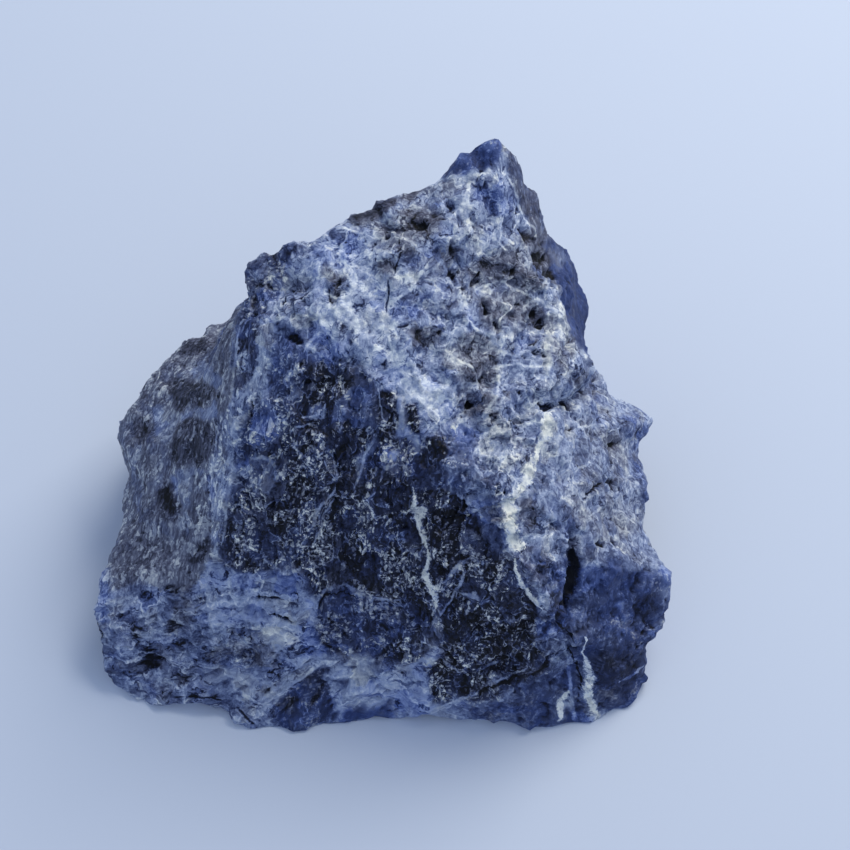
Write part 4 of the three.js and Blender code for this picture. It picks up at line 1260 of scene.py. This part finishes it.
object_place = made("TexCoord", {}, out="Object")
place = made("VectorMath", {0: object_place, "Scale": 1 / MM}, operation="SCALE")
loose = shifted(place, 1.6, 0.5)
ragged = shifted(loose, 0.5, 0.135, detail=1.0)
tone, spread, royal, weather = (attribute(name) for name in ("tone", "spread", "royal", "weather"))
granular, cleaved = attribute("granular"), attribute("cleaved")
fibrous, stepped = attribute("fibrous"), attribute("stepped")

grain = cells(ragged, GRAIN_WIDTH, out="Color")
clouds = centred(mottle(loose, 3.8, detail=3.0), 0.13)
strokes = centred(mottle(own_way(ragged, grain), 0.7, detail=5.0, roughness=0.62), 0.26)
scratches = mottle(own_way(loose, grain), 0.5, detail=2.0)
scratches = plus(times(fade(scratches, 0.70, 0.84), 0.15), times(fade(scratches, 0.16, 0.30), 0.15), -0.13)
splinters = plus(centred(cells(ragged, 0.6, out="Color"), 0.24),
                 centred(cells(loose, 0.36, out="Color"), 0.16))
film = times(between_cells(ragged, GRAIN_WIDTH, 0.12),
             fade(mottle(place, 2.6, detail=3.0), 0.3, 0.7))
crease_place = shifted(ragged, 0.8, 0.09, detail=1.0)
# painted shade: dark lines along the creases between grains
crease_shade = times(between_cells(crease_place, 1.3, 0.08),
                fade(mottle(place, 1.9, detail=3.0), 0.48, 0.78))
wisps = times(ridges(loose, 2.2, width=0.06), fade(mottle(place, 3.0, detail=3.0), 0.3, 0.7))
specks = fade(mottle(ragged, 0.8, detail=3.0, roughness=0.7), 0.84, 1.0)
crusty = plus(centred(part(grain, "Red"), 0.22), clouds, strokes, scratches, splinters, times(film, 0.24),
              times(wisps, 0.24), times(crease_shade, -0.38), times(specks, -0.42), 0.01)
print("the material has", len(tree.nodes), "nodes so far")

# %% [markdown]
# ## Torn cleavage
#
# The dark face has painted glints: tiny chips painted pale where they would catch the light. They
# are crisp cells, long along the grain or lying across it, that crowd together on some plates and are
# missing from others. Thin pale rims follow the borders of the plates.

# %% The pattern of torn cleavage
PLATE_WIDTH = 2.0

plate_place = along_grain(ragged, 2.4)
plate = cells(plate_place, PLATE_WIDTH, out="Color")
plates = plus(centred(part(plate, "Red"), 0.24),
              centred(own_pattern(along_grain(place, 2.6), plate, 0.4, detail=3.0, roughness=0.7), 0.22),
              centred(cells(along_grain(loose, 1.8), 0.34, out="Color"), 0.26))
calm = shifted(place, 2.6, 0.3, detail=0.0)
upright = along_grain(calm, 2.2)
level_place = made("VectorMath", {0: calm, 1: (0.45, 1.0, 1.0)}, operation="MULTIPLY")
crowding = plus(times(fade(mottle(loose, 2.8, detail=4.0, roughness=0.7), 0.45, 0.95), 0.42),
                centred(part(plate, "Green"), 0.34), -0.18)
# painted glints: pale chips painted on the dark face in place of chips catching the light
painted_glints = plus(bright_chips(upright, 0.28, crowding),
              bright_chips(level_place, 0.22, plus(crowding, -0.02)),
              times(bright_chips(upright, 0.7, -0.19), 0.6))
rims = plus(times(between_cells(plate_place, PLATE_WIDTH, 0.06),
                  fade(mottle(place, 2.0, detail=2.0), 0.35, 0.6)),
            times(between_cells(plate_place, 0.9, 0.09),
                  fade(mottle(place, 1.6, detail=2.0), 0.5, 0.8)))
torn = plus(plates, times(painted_glints, 0.50), times(rims, 0.32), -0.09)
print("the material has", len(tree.nodes), "nodes so far")

# %% [markdown]
# ## Fibres and ledges
#
# The wall is streaked along the grain, with small pale chips on it. The foot is striped level, like
# the edge of a stack of paper: the place is halved sideways before the cells are made, so they come
# out wide and thin.

# %% The patterns of fibres and ledges
FLAKE_WIDTH = 2.0

long_fibres = centred(mottle(along_grain(shifted(place, 1.2, 0.12), 9.0), 0.26, detail=3.0), 0.42)
scattered = centred(mottle(place, 2.0, detail=3.0), 0.3)
pale_chips = plus(bright_chips(along_grain(ragged, 2.2), 0.6, plus(scattered, -0.06)),
                  bright_chips(along_grain(ragged, 2.2), 0.34, plus(scattered, -0.06)))
blots = centred(mottle(loose, 2.6, detail=4.0, roughness=0.65), 0.24)
fibres = plus(long_fibres, times(pale_chips, 0.35), blots, -0.08)

levels = made("VectorMath", {0: ragged, 1: (0.5, 0.5, 1.5)}, operation="MULTIPLY")
flake = cells(levels, FLAKE_WIDTH, out="Color")
flakes = plus(centred(part(flake, "Red"), 0.23),
              centred(own_pattern(levels, flake, 1.5, detail=4.0, roughness=0.6, swirl=0.4), 0.30),
              centred(mottle(own_way(ragged, flake), 0.6, detail=5.0, roughness=0.7), 0.42))
lips = times(between_cells(levels, FLAKE_WIDTH, 0.08),
             fade(mottle(place, 2.0, detail=3.0), 0.3, 0.7))
slits = times(ridges(levels, 1.9, width=0.04), fade(mottle(place, 2.4, detail=2.0), 0.5, 0.75))
ledges = plus(flakes, times(lips, 0.26), times(slits, -0.50), -0.02)
smooth_clouds = plus(centred(mottle(ragged, 1.8, detail=5.0, roughness=0.72), 0.35),
                     times(times(ridges(loose, 2.0), mottle(place, 3.0, detail=3.0)), 0.16))
print("the material has", len(tree.nodes), "nodes so far")

# %% [markdown]
# ## One pattern out of four
#
# Each kind of break has a share at every point, and the pattern is their mean, weighted by the
# shares. What no kind claims is smooth and only a little cloudy.

# %% Mix the patterns
kinds = [(granular, crusty), (cleaved, torn), (fibrous, fibres), (stepped, ledges)]
share_sum = plus(*[share for share, _ in kinds])
pattern = plus(*[times(share, wander) for share, wander in kinds])
pattern = calc("DIVIDE", pattern, calc("MAXIMUM", share_sum, 1.0))
rest = calc("SUBTRACT", 1.0, calc("MINIMUM", share_sum, 1.0))
pattern = plus(pattern, times(rest, smooth_clouds))
print("the material has", len(tree.nodes), "nodes so far")

# %% [markdown]
# ## Veins, threads, cracks and shade
#
# A line is painted where its stored distance is small, with noise added to make its edge ragged.
# The side that nobody has drawn on gets veins too, from folded noise. All of it, the pattern, the
# hollows, the lines and the pits, is gathered in one number, the level, from 0 for black to 1 for
# white, and only then turned into a colour by the three scales.

# %% The level
def toward(amount, value, goal):
    """The value moved this share of the way to a goal."""
    return plus(times(value, opposite(amount)), times(amount, goal))


def line_cover(name, raggedness, soft_from, soft_to):
    """1 on a line and 0 beside it, from the signed distance across it, with a ragged edge. The plain
    distance hides the place midway between two lines, where the sign flips."""
    wander = centred(mottle(place, 0.5, detail=4.0, roughness=0.75), raggedness)
    beside = plus(calc("ABSOLUTE", attribute(name)), wander)
    near = opposite(fade(attribute(name + " near"), 1.8, 3.2))
    return times(opposite(fade(beside, soft_from, soft_to)), near)


hollow, pit = attribute("hollow"), attribute("pit")
patchy = fade(mottle(shifted(place, 0.6, 0.2), 1.5, detail=4.0), 0.15, 0.65)
threads = times(line_cover("thread", 1.1, 0.5, 1.5), plus(times(patchy, 0.6), 0.35))
crumbled = fade(mottle(ragged, 0.5, detail=3.0, roughness=0.7), 0.12, 0.42)
far_veins = times(ridges(loose, 18.0, width=0.014), fade(mottle(place, 9.0, detail=2.0), 0.4, 0.65))
veins = calc("MAXIMUM", line_cover("vein", 1.4, 0.6, 1.4), times(far_veins, attribute("unseen")))
veins = times(veins, plus(times(crumbled, 0.5), 0.5))
crack_shade = line_cover("crack", 1.2, 0.3, 1.3)
pit_shade = fade(plus(pit, centred(mottle(ragged, 0.7, detail=4.0, roughness=0.7), 0.8)), 0.38, 0.62)
chalk = fade(mottle(place, 0.8, detail=4.0), 0.1, 0.9)

level = plus(tone, times(pattern, spread))
# painted shade darkens the hollows, and a painted highlight lightens the ridges
level = plus(level, times(fade(hollow, 0.0, 0.20), times(mottle(place, 1.4, detail=3.0), -0.40)),
             times(fade(times(hollow, -1.0), 0.02, 0.18), 0.08))
# the lightest grains are held back here, so that only feldspar comes out white
level = calc("MINIMUM", level, plus(times(level, 0.55), 0.345))
level = toward(threads, level, plus(0.64, times(chalk, 0.22), times(granular, 0.16)))
# painted shade: the carved pits and cracks are painted darker, as the shade that falls in them
level = plus(level, times(pit, -0.16), times(pit_shade, -0.22), times(crack_shade, -0.55))
level = toward(veins, level, plus(0.88, times(chalk, 0.24)))
print("the material has", len(tree.nodes), "nodes so far")

# %% From level to colour
blue_colour = scale_of(level, BLUE_SCALE)
royal_cover = plus(royal, centred(mottle(loose, 2.4, detail=5.0), 0.7),
                   centred(part(grain, "Green"), 0.5))
surface = blend(fade(royal_cover, 0.1, 0.9), blue_colour, scale_of(level, ROYAL_SCALE))
weather_cover = plus(weather, centred(mottle(ragged, 2.0, detail=5.0), 0.6),
                     centred(part(grain, "Blue"), 0.5), times(veins, 0.4), times(pit, 0.4),
                     times(times(painted_glints, cleaved), 0.9))
surface = blend(fade(weather_cover, 0.1, 0.9), surface, scale_of(level, WEATHER_SCALE))
plug(shader.inputs["Base Color"], surface)
print("the material has", len(tree.nodes), "nodes so far")

# %% [markdown]
# ## Gloss and the finest relief
#
# A broken face of sodalite has a dull glassy gloss, and its weathered skin has almost none. Chips of
# half a millimetre and less are too small for the net and are the one thing left to a bump.

# %% Gloss and bump
DULL = 0.62
CLEAVED_GLOSS = 0.2
SHINE = 0.15
BUMP_HEIGHT = 0.18

plug(shader.inputs["Roughness"], calc("SUBTRACT", DULL, times(cleaved, CLEAVED_GLOSS)))
shader.inputs["Specular IOR Level"].default_value = SHINE
fine_chips = cells(along_grain(place, 2.2), 0.5, out="Color")
fine = plus(times(mottle(place, 0.5, detail=3.0), 0.6), times(fine_chips, 0.4))
bump = made("Bump", {"Height": fine, "Distance": BUMP_HEIGHT * MM, "Strength": 0.6})
plug(shader.inputs["Normal"], bump)
print("the material has", len(tree.nodes), "nodes")

# %% [markdown]
# ## The table
#
# One large square, pale and matt, under the stone. It only catches the shadow and belongs to the
# stage, not to the stone.

# %% Floor
HALF_FLOOR = 1500 * MM
FLOOR_COLOUR = (186, 197, 218)

floor_mesh = bpy.data.meshes.new("floor")
floor_corners = [(x * HALF_FLOOR, y * HALF_FLOOR, 0) for x, y in ((-1, -1), (1, -1), (1, 1), (-1, 1))]
floor_mesh.from_pydata(floor_corners, [], [(0, 1, 2, 3)])
floor = bpy.data.objects.new("floor", floor_mesh)
bpy.context.collection.objects.link(floor)
floor_paint = bpy.data.materials.new("floor")
floor_paint.use_nodes = True
floor_shader = floor_paint.node_tree.nodes["Principled BSDF"]
floor_shader.inputs["Base Color"].default_value = paint(*FLOOR_COLOUR)
floor_shader.inputs["Roughness"].default_value = 0.9
floor_mesh.materials.append(floor_paint)
print("the floor is", round(2 * HALF_FLOOR, 2), "m wide")

# %% [markdown]
# ## Soft light
#
# Daylight from a window, behind the stone and to the right, and a bluish sky that fills the shadows.
# An area lamp as wide as a window gives soft borders to the shadows, which a sun or a point would
# not. The Standard view keeps the colours as they were mixed.

# %% Light
WINDOW_PLACE = (220, 250, 360)
WINDOW_WIDTH = 300
WINDOW_WATTS = 2.1
WINDOW_COLOUR = (1.0, 0.93, 0.78)
SKY_COLOUR = (0.68, 0.80, 1.0)
SKY_STRENGTH = 0.68

window_light = bpy.data.lights.new("window", "AREA")
window_light.size = WINDOW_WIDTH * MM
window_light.energy = WINDOW_WATTS
window_light.color = WINDOW_COLOUR
window = bpy.data.objects.new("window", window_light)
window.location = Vector(WINDOW_PLACE) * MM
window.rotation_euler = (-Vector(WINDOW_PLACE)).to_track_quat("-Z", "Y").to_euler()
bpy.context.collection.objects.link(window)

sky = bpy.data.worlds.new("sky")
sky.use_nodes = True
sky_light = sky.node_tree.nodes["Background"]
sky_light.inputs["Color"].default_value = (*SKY_COLOUR, 1)
sky_light.inputs["Strength"].default_value = SKY_STRENGTH
bpy.context.scene.world = sky
bpy.context.scene.view_settings.view_transform = "Standard"
print("the window lamp is", round((Vector(WINDOW_PLACE) * MM).length, 2), "m from the stone")
